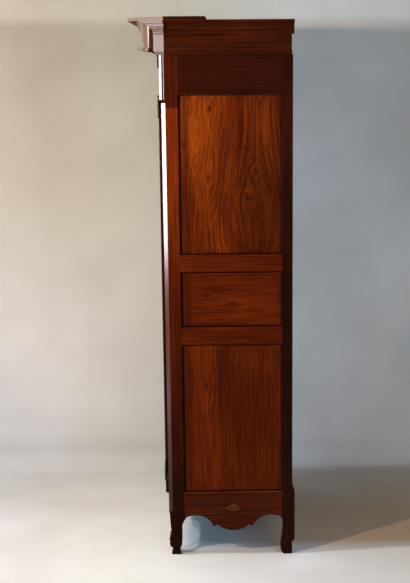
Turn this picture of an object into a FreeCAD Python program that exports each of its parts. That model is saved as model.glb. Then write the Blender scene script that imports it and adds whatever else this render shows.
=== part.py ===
import FreeCAD, Part
import math
import os
import Sketcher

# A provincial bonnetiere: a tall narrow wardrobe of cherry with one long door.
# Frame: +Z up, -Y to the front, +X to the hinge side. The origin is on the floor,
# under the middle of the whole cabinet. Lengths are millimetres.

SHEET = "Sizes"
SIZES = {
    # overall
    "carcass_width": 860.0,
    "carcass_depth": 490.0,
    "carcass_height": 1962.0,
    "crown_overhang": 125.0,
    "heel_thickness": 10.0,
    # posts
    "post_width": 60.0,
    "front_post_depth": 62.0,
    "rear_post_depth": 40.0,
    "rear_post_width": 50.0,
    "post_cant": 15.0,
    "cant_bottom": 183.0,
    "cant_top_drop": 174.0,
    # side frame levels
    "apron_top": 264.0,
    "lower_rail_bottom": 864.0,
    "lower_rail_height": 70.0,
    "upper_rail_bottom": 1149.0,
    "upper_rail_height": 68.0,
    "top_rail_height": 144.0,
    # joinery
    "rail_thickness": 28.0,
    "groove_width": 9.0,
    "groove_depth": 10.0,
    "groove_setback": 9.0,
    "tenon_length": 24.0,
    "rear_tenon_length": 20.0,
    "joint_clearance": 0.15,
    "arris": 2.5,
    "peg_radius": 4.0,
    "peg_length": 24.0,
    "peg_proud": 0.8,
    "peg_clearance": 0.15,
    "peg_inset": 18.0,
    # side panels
    "panel_edge": 6.6,
    "panel_field_setback": 5.0,
    "panel_bevel": 20.0,
    # aprons
    "apron_arch": 167.0,
    "apron_cusp": 120.0,
    "apron_hollow": 127.0,
    "apron_lobe": 103.0,
    "apron_shoulder": 147.0,
    "side_cusp_reach": 79.0,
    "side_lobe_reach": 62.0,
    "front_cusp_reach": 150.0,
    "front_lobe_reach": 118.0,
    "bead_height": 174.0,
    "bead_radius": 2.0,
    "shell_height": 197.0,
    "shell_width": 64.0,
    "shell_rise": 5.0,
    # feet
    "foot_scroll_radius": 25.5,
    "foot_scroll_height": 54.5,
    "foot_pad_half": 18.0,
    "foot_pad_height": 24.0,
    "foot_neck_half": 11.5,
    "foot_eye_radius": 5.0,
    "foot_block_top": 82.0,
    "rear_toe": 4.0,
    # front frame
    "front_rail_depth": 26.0,
    "front_tenon_setback": 12.0,
    "frieze_height": 162.0,
    "frieze_inset": 8.5,
    "frieze_proud": 6.0,
    "frieze_step": 6.0,
    "batten_height": 49.0,
    "frieze_bevel": 9.0,
    "frieze_end_recess": 1.5,
    # back and inside
    "back_rail_depth": 22.0,
    "back_rail_height": 90.0,
    "back_rail_bottom": 150.0,
    "back_board_thickness": 10.0,
    "back_board_count": 5.0,
    "heel_bottom": 54.0,
    "heel_top": 289.0,
    "heel_slope": 27.0,
    "floor_thickness": 18.0,
    "roof_thickness": 14.0,
    "shelf_thickness": 20.0,
    "shelf_setback": 66.0,
    "first_shelf": 690.0,
    "shelf_pitch": 415.0,
    "cleat_height": 28.0,
    "cleat_thickness": 18.0,
    "board_clearance": 0.5,
    # cornice
    "crown_board_thickness": 12.0,
    "crown_board_depth": 172.0,
    "cornice_height": 138.0,
    "cornice_wall": 22.0,
    "side_crown_overhang": 30.0,
    "side_frieze_overhang": 8.0,
    "corner_depth": 14.0,
    "corner_width": 70.0,
    "crown_front_half": 325.0,
    "front_splay": 60.0,
    "rear_frieze_recess": 5.0,
    # door
    "door_bottom": 247.0,
    "door_top_drop": 167.0,
    "door_proud": 13.0,
    "door_thickness": 28.0,
    "door_lap": 12.0,
    "door_gap": 2.5,
    "door_seat_gap": 0.5,
    "door_stile": 95.0,
    "door_rail": 95.0,
    "door_shoulder_drop": 210.0,
    "door_arch_drop": 105.0,
    "door_moulding": 7.0,
    "door_open_angle": 170.0,
    # hinges
    "hinge_forward": 11.5,
    "hinge_outset": 7.0,
    "hinge_radius": 4.4,
    "hinge_ring_radius": 6.3,
    "hinge_pin_radius": 2.5,
    "hinge_pin_clearance": 0.05,
    "hinge_barrel": 42.0,
    "hinge_finial": 38.0,
    "hinge_below_top": 35.0,
    "hinge_above_bottom": 83.0,
    "hinge_leaf": 2.0,
    "hinge_leaf_height": 23.0,
    "hinge_leaf_start": 3.0,
    "hinge_leaf_reach": 30.0,
    # lock
    "lock_height": 1041.0,
    "lock_case_width": 70.0,
    "lock_case_height": 90.0,
    "lock_case_depth": 22.0,
    "lock_wall": 2.0,
    "bolt_height": 16.0,
    "bolt_thickness": 6.0,
    "bolt_travel": 14.0,
    "bolt_clearance": 0.3,
    "key_radius": 3.0,
    "key_reach": 9.0,
    "key_bit": 11.0,
    "key_bit_thickness": 3.0,
    "key_bow_radius": 10.0,
    "key_bow_spread": 8.0,
    "key_wire": 2.4,
    "plate_thickness": 1.6,
    "plate_height": 150.0,
    "plate_width": 40.0,
}

doc = FreeCAD.newDocument("Bonnetiere")
sheet = doc.addObject("Spreadsheet::Sheet", SHEET)
for row, (alias, number) in enumerate(SIZES.items(), start=1):
    sheet.set(f"A{row}", alias)
    sheet.set(f"B{row}", str(number))
    sheet.setAlias(f"B{row}", alias)
doc.recompute()


class Size:
    """A length with its value and the expression that ties it to the sheet."""

    def __init__(self, value, text):
        self.value = value
        self.text = text

    def __add__(self, other):
        other = size(other)
        return Size(self.value + other.value, f"({self.text} + {other.text})")

    def __sub__(self, other):
        other = size(other)
        return Size(self.value - other.value, f"({self.text} - {other.text})")

    def __mul__(self, factor):
        factor = size(factor)
        return Size(self.value * factor.value, f"({self.text} * {factor.text})")

    def __truediv__(self, factor):
        factor = size(factor)
        return Size(self.value / factor.value, f"({self.text} / {factor.text})")

    def __neg__(self):
        return Size(-self.value, f"(0 - {self.text})")

    def __radd__(self, other):
        return size(other) + self

    def __rsub__(self, other):
        return size(other) - self


def size(thing):
    """A Size from a Size, from a name in the sheet or from a plain number."""
    if isinstance(thing, Size):
        return thing
    if isinstance(thing, str):
        return Size(SIZES[thing], f"{SHEET}.{thing}")
    return Size(float(thing), f"({float(thing)!r})")


class Via:
    """A point that an arc passes through, between two corners of an outline."""

    def __init__(self, u, v):
        self.u = size(u)
        self.v = size(v)


def bind(thing, path, length):
    thing.setExpression(path, size(length).text)


# ---------------------------------------------------------------- shape helpers


def origin_feature(body, role):
    for feature in body.Origin.OriginFeatures:
        if feature.Role == role:
            return feature
    raise RuntimeError(f"no {role}")


def new_body(label):
    body = doc.addObject("PartDesign::Body", label)
    body.Label = label
    return body


def point(u, v):
    return FreeCAD.Vector(size(u).value, size(v).value, 0)


def fix_point(sketch, item, end, u, v):
    """Holds one point of a sketch at (u, v) from the sketch's origin."""
    for kind, place in (("DistanceX", size(u)), ("DistanceY", size(v))):
        index = sketch.addConstraint(Sketcher.Constraint(kind, -1, 1, item, end, place.value))
        sketch.setExpression(f"Constraints[{index}]", place.text)


def end_at(sketch, item, corner):
    """Which end of a side (1 or 2) lies at a corner: an arc's ends follow its own direction."""
    first = sketch.getPoint(item, 1).distanceToPoint(corner)
    second = sketch.getPoint(item, 2).distanceToPoint(corner)
    return 1 if first <= second else 2


def draw(sketch, outline):
    """Closes a loop through the outline's corners, with an arc wherever a Via stands between two."""
    corners = [(size(p[0]), size(p[1])) for p in outline if not isinstance(p, Via)]
    vias = {}
    for p in outline:
        if isinstance(p, Via):
            vias[len(vias_before(outline, p)) - 1] = p
    sides = []
    for i, corner in enumerate(corners):
        start = point(*corner)
        stop = point(*corners[(i + 1) % len(corners)])
        if i in vias:
            side = Part.Arc(start, point(vias[i].u, vias[i].v), stop)
        else:
            side = Part.LineSegment(start, stop)
        sides.append(sketch.addGeometry(side, False))
    for i, side in enumerate(sides):
        corner = corners[(i + 1) % len(corners)]
        following = sides[(i + 1) % len(sides)]
        meet = point(*corner)
        ends = (side, end_at(sketch, side, meet), following, end_at(sketch, following, meet))
        sketch.addConstraint(Sketcher.Constraint("Coincident", *ends))
    for i, side in enumerate(sides):
        fix_point(sketch, side, end_at(sketch, side, point(*corners[i])), *corners[i])
    for i, via in vias.items():
        mark = sketch.addGeometry(Part.Point(point(via.u, via.v)), True)
        fix_point(sketch, mark, 1, via.u, via.v)
        sketch.addConstraint(Sketcher.Constraint("PointOnObject", mark, 1, sides[i]))


def vias_before(outline, via):
    """The corners that come before a Via."""
    return [p for p in outline[:outline.index(via)] if not isinstance(p, Via)]


def new_sketch(body, name, plane, offset, *outlines):
    """A sketch on one of the body's own origin planes, moved by offset along the plane's normal."""
    sketch = body.newObject("Sketcher::SketchObject", name)
    sketch.AttachmentSupport = [(origin_feature(body, plane + "_Plane"), "")]
    sketch.MapMode = "FlatFace"
    bind(sketch, "AttachmentOffset.Base.z", offset)
    for outline in outlines:
        draw(sketch, outline)
    return sketch


def pad(body, name, plane, low, high, *outlines):
    """Adds the outlines' solid between two coordinates along the axis across the plane."""
    low = size(low)
    high = size(high)
    start = -high if plane == "XZ" else low
    feature_sketch = new_sketch(body, name + "_sketch", plane, start, *outlines)
    feature = body.newObject("PartDesign::Pad", name)
    feature.Profile = feature_sketch
    bind(feature, "Length", high - low)
    feature_sketch.Visibility = False
    return feature


def pocket(body, name, plane, low, high, *outlines):
    """Cuts the outlines away between two coordinates along the axis across the plane."""
    low = size(low)
    high = size(high)
    start = -low if plane == "XZ" else high
    feature_sketch = new_sketch(body, name + "_sketch", plane, start, *outlines)
    feature = body.newObject("PartDesign::Pocket", name)
    feature.Profile = feature_sketch
    bind(feature, "Length", high - low)
    return feature


def loft(body, name, plane, first, first_outline, last, last_outline):
    """Adds a ruled solid between two outlines on parallel planes."""
    sign = -1 if plane == "XZ" else 1
    start = new_sketch(body, name + "_start", plane, size(first) * sign, first_outline)
    stop = new_sketch(body, name + "_stop", plane, size(last) * sign, last_outline)
    feature = body.newObject("PartDesign::AdditiveLoft", name)
    feature.Profile = start
    feature.Sections = [stop]
    feature.Ruled = True
    return feature


def turned(body, name, outline):
    """Adds a solid of revolution about the body's own Z axis; the outline is radius against height."""
    profile = new_sketch(body, name + "_sketch", "XZ", 0, outline)
    feature = body.newObject("PartDesign::Revolution", name)
    feature.Profile = profile
    feature.ReferenceAxis = (profile, ["V_Axis"])
    feature.Angle = 360
    return feature


def rectangle(left, bottom, right, top):
    return [(left, bottom), (right, bottom), (right, top), (left, top)]


def box(label, low, high):
    """A board or a cutter, from its lowest corner to its highest."""
    solid = doc.addObject("Part::Box", label)
    solid.Label = label
    for axis, length_name, a, b in zip("xyz", ("Length", "Width", "Height"), low, high):
        bind(solid, f"Placement.Base.{axis}", a)
        bind(solid, length_name, size(b) - size(a))
    return solid


def place(thing, x, y, z):
    for axis, coordinate in zip("xyz", (x, y, z)):
        bind(thing, f"Placement.Base.{axis}", coordinate)


def fuse(label, pieces):
    joined = doc.addObject("Part::MultiFuse", label)
    joined.Label = label
    joined.Shapes = pieces
    return joined


def common(label, first, second):
    shared = doc.addObject("Part::Common", label)
    shared.Label = label
    shared.Base = first
    shared.Tool = second
    return shared


def cut(label, base, tools):
    """The base without the tools."""
    tool = tools[0] if len(tools) == 1 else fuse(label + "_tools", tools)
    left = doc.addObject("Part::Cut", label)
    left.Label = label
    left.Base = base
    left.Tool = tool
    return left


def mirrored(label, source):
    copy = doc.addObject("Part::Mirroring", label)
    copy.Label = label
    copy.Source = source
    copy.Normal = FreeCAD.Vector(1, 0, 0)
    copy.Base = FreeCAD.Vector(0, 0, 0)
    return copy


def split_rod(label, radius, length, x, y, z, along):
    """A riven square peg, or the hole for one, that runs inwards from a face along -X or +Y."""
    rod = doc.addObject("Part::Prism", label)
    rod.Label = label
    rod.Polygon = 4
    bind(rod, "Circumradius", radius)
    bind(rod, "Height", length)
    turn = (FreeCAD.Vector(0, 1, 0), -90) if along == "x" else (FreeCAD.Vector(1, 0, 0), -90)
    rod.Placement = FreeCAD.Placement(FreeCAD.Vector(0, 0, 0), FreeCAD.Rotation(*turn))
    place(rod, x, y, z)
    return rod


parts = {}


def keep(node, shape):
    """Lists a finished piece: its name is its node's name."""
    shape.Label = node
    parts[node] = shape
    return shape


# ---------------------------------------------------------------- shared places

half_width = size("carcass_width") / 2
overall_depth = size("crown_overhang") + size("carcass_depth") + size("heel_thickness")
front = size("crown_overhang") - overall_depth / 2
back = front + size("carcass_depth")
carcass_top = size("carcass_height")
top = carcass_top + size("cornice_height")
cant_top = carcass_top - size("cant_top_drop")
top_rail_bottom = carcass_top - size("top_rail_height")
frieze_bottom = carcass_top - size("frieze_height")
door_top = carcass_top - size("door_top_drop")
door_shoulder = door_top - size("door_shoulder_drop")
door_arch = door_top - size("door_arch_drop")

post_inner = half_width - size("post_width")
rear_post_inner = half_width - size("rear_post_width")
front_post_back = front + size("front_post_depth")
rear_post_front = back - size("rear_post_depth")
rail_inner = half_width - size("rail_thickness")
groove_outer = half_width - size("groove_setback")
groove_inner = groove_outer - size("groove_width")
frame_middle = (front_post_back + rear_post_front) / 2
frame_half = (rear_post_front - front_post_back) / 2
apron_top = size("apron_top")
clear = size("joint_clearance")

lower_rail_top = size("lower_rail_bottom") + size("lower_rail_height")
upper_rail_top = size("upper_rail_bottom") + size("upper_rail_height")
SIDE_RAILS = {
    "apron": (size("apron_shoulder"), apron_top),
    "lower_rail": (size("lower_rail_bottom"), lower_rail_top),
    "upper_rail": (size("upper_rail_bottom"), upper_rail_top),
    "top_rail": (top_rail_bottom, carcass_top),
}
SIDE_PANELS = {
    "lower_panel": (apron_top, size("lower_rail_bottom")),
    "middle_panel": (lower_rail_top, size("upper_rail_bottom")),
    "upper_panel": (upper_rail_top, top_rail_bottom),
}

# door opening
opening_half = post_inner
opening_bottom = size("door_bottom") + size("door_lap")
opening_top = door_top - size("door_lap")
front_groove_front = front + size("front_tenon_setback")
front_groove_back = front_groove_front + size("groove_width")
front_rail_back = front + size("front_rail_depth")
FRONT_RAILS = {
    "front_apron": (size("apron_shoulder"), opening_bottom),
    "front_top_rail": (opening_top, carcass_top),
}


# ---------------------------------------------------------------- posts


def foot_outline(sign, face):
    """Half of a scroll foot: its outline from the cant stop down to the floor and up its inner side.

    face is the coordinate of the post's outer face, and sign points into the post. The ankle
    narrows down to a squarish block with round lower corners, on a waisted pad.
    """
    def inward(distance):
        return size(face) + size(distance) * sign

    scroll = size("foot_scroll_radius")
    middle = scroll + 1.0
    eye_level = size("foot_scroll_height")
    block_top = size("foot_block_top")
    pad_top = size("foot_pad_height")
    pad_half = size("foot_pad_half")
    neck_half = size("foot_neck_half")
    round_start = eye_level - scroll * 0.25
    return [
        (inward(3.0), size("cant_bottom") - 5.0),
        Via(inward(5.0), (size("cant_bottom") + block_top) / 2),
        (inward(10.0), block_top + 3.0),
        (inward(middle - scroll + 1.0), block_top),
        (inward(middle - scroll), round_start),
        Via(inward(middle - scroll + 4.5), round_start - 13.0),
        (inward(middle - neck_half), pad_top),
        (inward(middle - pad_half), pad_top * 0.3),
        (inward(middle - pad_half), 0),
        (inward(middle + pad_half), 0),
        (inward(middle + pad_half), pad_top * 0.3),
        (inward(middle + neck_half), pad_top),
        Via(inward(middle + scroll - 5.5), round_start - 13.0),
        (inward(middle + scroll - 1.5), round_start),
        (inward(middle + scroll - 1.0), eye_level + 66.0),
    ]


def front_post_form():
    """The front post's solid: its side outline and its front outline, each cut through the other."""
    depth = size("front_post_depth")
    width = size("post_width")
    side = new_body("front_post_side_form")
    pad(side, "side_form", "YZ", post_inner, half_width,
        [(front, carcass_top), (front, size("cant_bottom"))]
        + foot_outline(1, front)
        + [Via(front + depth - 6.0, size("apron_shoulder") - 12.0),
           (front + depth, size("apron_shoulder")), (front + depth, carcass_top)])
    face = new_body("front_post_face_form")
    pad(face, "face_form", "XZ", front, front_post_back,
        [(half_width, carcass_top), (half_width, size("cant_bottom"))]
        + foot_outline(-1, half_width)
        + [Via(half_width - width + 4.0, size("apron_shoulder") - 12.0),
           (half_width - width, size("apron_shoulder")), (half_width - width, carcass_top)])
    return common("front_post_form", side, face)


def eye(label, x, y, turn):
    """The raised eye of the scroll, a low dome-edged button."""
    button = new_body(label)
    radius = size("foot_eye_radius")
    turned(button, "button", [(0, -3.0), (radius, -3.0), (radius, 0.6), (radius * 0.4, 2.4), (0, 2.4)])
    button.Placement = FreeCAD.Placement(FreeCAD.Vector(0, 0, 0), turn)
    place(button, x, y, size("foot_scroll_height") + 6.0)
    return button


def corner_cant():
    """The stopped cant down the outer corner of the front post, as a cutter."""
    cutter = new_body("corner_cant")
    reach = size("post_cant")
    pad(cutter, "cant", "XY", size("cant_bottom"), cant_top,
        [(half_width + 1.0, front - 1.0), (half_width + 1.0, front + reach + 1.0),
         (half_width - reach - 1.0, front - 1.0)])
    return cutter


def post_grooves(name, inner_face, sign, reach):
    """Groove and mortises that the side rails and panels fit, cut into a post's face."""
    deep = size(inner_face) + size(reach) * sign
    shallow = size(inner_face) + size("groove_depth") * sign
    cutters = [span_box(f"{name}_groove", shallow, inner_face, size("apron_shoulder"), carcass_top)]
    for rail, (low, high) in SIDE_RAILS.items():
        cutters.append(span_box(f"{name}_{rail}_mortise", deep, inner_face, low, high))
    return cutters


def span_box(label, y_a, y_b, low, high):
    """A cutter as wide as the side groove, between two places along Y in either order."""
    first, last = (y_a, y_b) if size(y_a).value < size(y_b).value else (y_b, y_a)
    return box(label, (groove_inner, first, low), (groove_outer, last, high))


def moulding_cutter(name, plane, face, depth, outline_at):
    """Breaks the arris round one panel opening: wider at the face, mitred at the corners.

    outline_at(growth) gives the opening's outline, grown outwards by that much.
    """
    cutter = new_body(name)
    growth = abs(size(depth).value)
    over = 1.0 if size(depth).value > 0 else -1.0
    deep = size(face) - depth
    proud = size(face) + over
    loft(cutter, "flare", plane, deep, outline_at(size(0)), proud, outline_at(size(growth + 1.0)))
    return cutter


def side_opening(low, high):
    def outline_at(growth):
        return rectangle(front_post_back - growth, low - growth, rear_post_front + growth, high + growth)
    return outline_at


side_mouldings = [
    moulding_cutter(f"side_{name}_arris", "YZ", half_width, size("arris"), side_opening(low, high))
    for name, (low, high) in SIDE_PANELS.items()
]

peg_sets = {"frame_pegs": [], "door_pegs": []}


def pegs_at(group, places, x_face, along, proud="peg_proud"):
    """Makes the pegs of a joint and returns the cutters for their holes."""
    holes = []
    radius = size("peg_radius")
    length = size("peg_length")
    gap = size("peg_clearance")
    proud = size(proud)
    for a, z in places:
        number = len(peg_sets[group]) + 1
        if along == "x":
            start = size(x_face) + proud
            seat = (size(x_face) + 2.0, a, z)
            peg = split_rod(f"{group}_{number}", radius, length + proud, start, a, z, along)
        else:
            start = size(x_face) - proud
            seat = (a, size(x_face) - 2.0, z)
            peg = split_rod(f"{group}_{number}", radius, length + proud, a, start, z, along)
        peg_sets[group].append(peg)
        hole = split_rod(f"{group}_hole_{number}", radius + gap, length + 2.2, *seat, along)
        holes.append(hole)
    return holes


side_holes = {}
for rail, (low, high) in SIDE_RAILS.items():
    levels = (size(low) + size("peg_inset"), size(high) - size("peg_inset"))
    front_places = [(front_post_back - size("peg_inset"), z) for z in levels]
    rear_places = [(rear_post_front + size("peg_inset") - 6.0, z) for z in levels]
    side_holes[rail] = (
        pegs_at("frame_pegs", front_places, half_width, "x"),
        pegs_at("frame_pegs", rear_places, half_width, "x"),
    )

front_holes = {}
for rail, (low, high) in FRONT_RAILS.items():
    face = front
    proud = "peg_proud"
    if rail == "front_top_rail":
        # the frieze board covers these pegs, so they end just under its seat
        face = front + size("frieze_inset")
        low = frieze_bottom
        proud = -0.3
    levels = (size(low) + size("peg_inset"), size(high) - size("peg_inset"))
    places = [(post_inner + size("peg_inset") - 6.0, z) for z in levels]
    front_holes[rail] = pegs_at("frame_pegs", places, face, "y", proud)

hinge_x = post_inner + size("door_lap") + size("hinge_outset")
hinge_y = front - size("hinge_forward")
hinge_middles = {
    "upper": door_top - size("hinge_below_top"),
    "lower": size("door_bottom") + size("hinge_above_bottom"),
}
leaf_half = size("hinge_leaf") / 2
leaf_gap = 0.2
leaf_start = size("hinge_leaf_start")
leaf_end = leaf_start + size("hinge_leaf_height")


def post_leaf_slot(name, middle):
    """The slot in the post for the fixed half's leaf."""
    slot_half = leaf_half + leaf_gap
    return box(f"{name}_post_slot",
               (hinge_x - slot_half, front - 1.0, middle - leaf_end - leaf_gap),
               (hinge_x + slot_half, hinge_y + size("hinge_leaf_reach") + leaf_gap,
                middle - leaf_start + leaf_gap))


def make_posts():
    form = front_post_form()
    out = FreeCAD.Rotation(FreeCAD.Vector(0, 1, 0), 90)
    ahead = FreeCAD.Rotation(FreeCAD.Vector(1, 0, 0), 90)
    scroll_middle = size("foot_scroll_radius") - 3.0
    side_eye = eye("side_eye", half_width - 1.2, front + scroll_middle, out)
    face_eye = eye("face_eye", half_width - scroll_middle, front + 1.2, ahead)
    whole = fuse("front_post_with_eyes", [form, side_eye, face_eye])
    cutters = [corner_cant()]
    cutters += post_grooves("front_post", front_post_back, -1, size("tenon_length") + 1.0)
    for rail, (low, high) in FRONT_RAILS.items():
        cutters.append(box(f"{rail}_mortise",
                           (post_inner, front_groove_front, low),
                           (post_inner + size("tenon_length") + 1.0, front_groove_back, high)))
    rebate_back = front + size("frieze_inset")
    cutters.append(box("frieze_rebate",
                       (post_inner - 1.0, front - 1.0, frieze_bottom),
                       (half_width + 1.0, rebate_back, carcass_top + 1.0)))
    worn = new_body("rebate_arris")
    pad(worn, "arris", "XY", frieze_bottom, carcass_top + 1.0,
        [(half_width + 1.0, rebate_back - 1.0), (half_width + 1.0, rebate_back + 3.0),
         (half_width - 3.0, rebate_back - 1.0)])
    cutters.append(worn)
    for fore, _ in side_holes.values():
        cutters += fore
    for holes in front_holes.values():
        cutters += holes
    cutters += side_mouldings
    jointed = cut("front_post_jointed", whole, cutters)
    slots = [post_leaf_slot(name, middle) for name, middle in hinge_middles.items()]
    keep("front_post_right", cut("front_post_right", jointed, slots))
    keeper_mortise = box("bolt_mortise",
                         (-post_inner - size("bolt_travel") - 2.0, bolt_front - 0.6,
                          bolt_bottom - 0.6),
                         (-post_inner + 1.0, bolt_front + size("bolt_thickness") + 0.6,
                          bolt_bottom + size("bolt_height") + 0.6))
    keep("front_post_left", cut("front_post_left", mirrored("front_post_far", jointed),
                                [keeper_mortise]))

    rear = new_body("rear_post_form")
    toe = size("rear_toe")
    face = rear_post_front
    shoulder = size("apron_shoulder")
    pad(rear, "rear_form", "YZ", rear_post_inner, half_width,
        [(back, carcass_top), (face, carcass_top), (face, shoulder),
         Via(face + 2.5, shoulder - 8.0), (face + toe, shoulder - 20.0),
         Via(face + 1.5, shoulder * 0.5), (face - toe, shoulder * 0.25),
         Via(face - 2.5, 12.0), (face + 6.0, 0), (back, 0)])
    rear_cutters = post_grooves("rear_post", rear_post_front, 1, size("rear_tenon_length") + 1.0)
    for _, aft in side_holes.values():
        rear_cutters += aft
    rear_cutters += side_mouldings
    for rail, (low, high) in BACK_RAILS.items():
        rear_cutters.append(box(f"{rail}_mortise",
                                (rear_post_inner, back_groove_front, low),
                                (rear_post_inner + size("rear_tenon_length") + 1.0,
                                 back_groove_front + size("groove_width"), high)))
    rear_cutters.append(box("rear_post_board_groove",
                            (rear_post_inner, back_groove_front, size("back_rail_bottom")),
                            (rear_post_inner + size("groove_depth"),
                             back_board_back + clear, carcass_top)))
    right = keep("rear_post_right", cut("rear_post_right", rear, rear_cutters))
    keep("rear_post_left", mirrored("rear_post_left", right))


# ---------------------------------------------------------------- side frames

ARCH_STEPS = ((0.10, 0.42), (0.24, 0.76), (0.54, 1.0), (0.80, 0.9), (0.93, 0.6))


def apron_edge(middle, half, cusp_reach, lobe_reach):
    """The scalloped lower edge, from the low end to the high end of its axis.

    A wide lobe hangs in the middle, then a small hollow, a cusp and a tall arch at each end.
    """
    arch = size("apron_arch")
    cusp = size("apron_cusp")
    hollow = size("apron_hollow")
    shoulder = size("apron_shoulder")
    span = size(half) - cusp_reach

    def arch_point(step, sign):
        along, rise = step
        base = cusp if along < 0.5 else shoulder
        height = base + (arch - base) * rise
        return size(middle) + (size(cusp_reach) + span * along) * sign, height

    def arch_side(sign):
        first, second, third, fourth, fifth = [arch_point(step, sign) for step in ARCH_STEPS]
        return [(size(middle) + size(cusp_reach) * sign, cusp), Via(*first), second,
                Via(*third), fourth, Via(*fifth), (size(middle) + size(half) * sign, shoulder)]

    lobe = [(size(middle) - lobe_reach, hollow), Via(middle, size("apron_lobe")),
            (size(middle) + lobe_reach, hollow)]
    return list(reversed(arch_side(-1))) + lobe + arch_side(1)


def rail_body(label, low, high, lower_edge):
    """A side rail: face board, tenons at both ends and a groove wherever a panel enters."""
    body = new_body(label)
    edge = lower_edge or [(front_post_back, low), (rear_post_front, low)]
    pad(body, "board", "YZ", rail_inner, half_width,
        edge + [(rear_post_front, high), (front_post_back, high)])
    for end, start, stop in (
            ("front", front_post_back - size("tenon_length"), front_post_back + 1.0),
            ("rear", rear_post_front - 1.0, rear_post_front + size("rear_tenon_length"))):
        pad(body, f"{end}_tenon", "YZ", groove_inner + clear, groove_outer - clear,
            rectangle(start, size(low) + clear, stop, size(high) - clear))
    return body


def make_side_frame():
    depth = size("groove_depth")
    for rail, (low, high) in SIDE_RAILS.items():
        edge = None
        if rail == "apron":
            edge = apron_edge(frame_middle, frame_half, size("side_cusp_reach"),
                              size("side_lobe_reach"))
        body = rail_body(f"side_{rail}_form", low, high, edge)
        cutters = list(side_mouldings)
        if rail != "top_rail":
            cutters.append(span_box(f"{rail}_upper_groove",
                                    front_post_back - 40.0, rear_post_front + 40.0,
                                    size(high) - depth, size(high) + 1.0))
        if rail != "apron":
            cutters.append(span_box(f"{rail}_lower_groove",
                                    front_post_back - 40.0, rear_post_front + 40.0,
                                    size(low) - 1.0, size(low) + depth))
        for holes in side_holes[rail]:
            cutters += holes
        board = body
        if rail == "apron":
            board = fuse("side_apron_ornamented", [body, apron_bead(), apron_shell()])
        right = keep(f"side_{rail}_right", cut(f"side_{rail}_right", board, cutters))
        keep(f"side_{rail}_left", mirrored(f"side_{rail}_left", right))
    for panel, (low, high) in SIDE_PANELS.items():
        body = side_panel(f"side_{panel}_right", low, high)
        keep(f"side_{panel}_right", body)
        keep(f"side_{panel}_left", mirrored(f"side_{panel}_left", body))


def apron_bead():
    """The fine bead run along the apron above its arches."""
    bead = new_body("apron_bead")
    radius = size("bead_radius")
    level = size("bead_height")
    pad(bead, "bead", "XZ", front_post_back, rear_post_front,
        [(half_width - 1.0, level - radius), (half_width, level - radius),
         Via(half_width + radius * 0.8, level), (half_width, level + radius),
         (half_width - 1.0, level + radius)])
    return bead


def apron_shell():
    """The low carved shell in the middle of the apron: a lens-shaped boss."""
    shell = new_body("apron_shell")
    wide = size("shell_width") / 2
    tall = size("shell_width") * 0.27
    rise = size("shell_rise")
    level = size("shell_height")

    def lens(scale):
        return [(frame_middle - wide * scale, level), Via(frame_middle, level + tall * scale),
                (frame_middle + wide * scale, level), Via(frame_middle, level - tall * scale)]

    loft(shell, "boss", "YZ", half_width - 1.0, lens(1.0), half_width + rise * 0.6, lens(0.62))
    return shell


def side_panel(label, low, high):
    """A fielded panel: a plate with a thin edge in the grooves and a raised field outside."""
    body = new_body(label)
    reach = size("groove_depth") - 1.0
    inner = groove_inner + 0.25
    edge_face = inner + size("panel_edge")
    field_face = half_width - size("panel_field_setback")
    margin = size("panel_bevel")
    outer = rectangle(front_post_back - reach, size(low) - reach,
                      rear_post_front + reach, size(high) + reach)
    field = rectangle(front_post_back + margin, size(low) + margin,
                      rear_post_front - margin, size(high) - margin)
    pad(body, "plate", "YZ", inner, edge_face, outer)
    loft(body, "field", "YZ", edge_face, outer, field_face, field)
    return body


# ---------------------------------------------------------------- front frame


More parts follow.
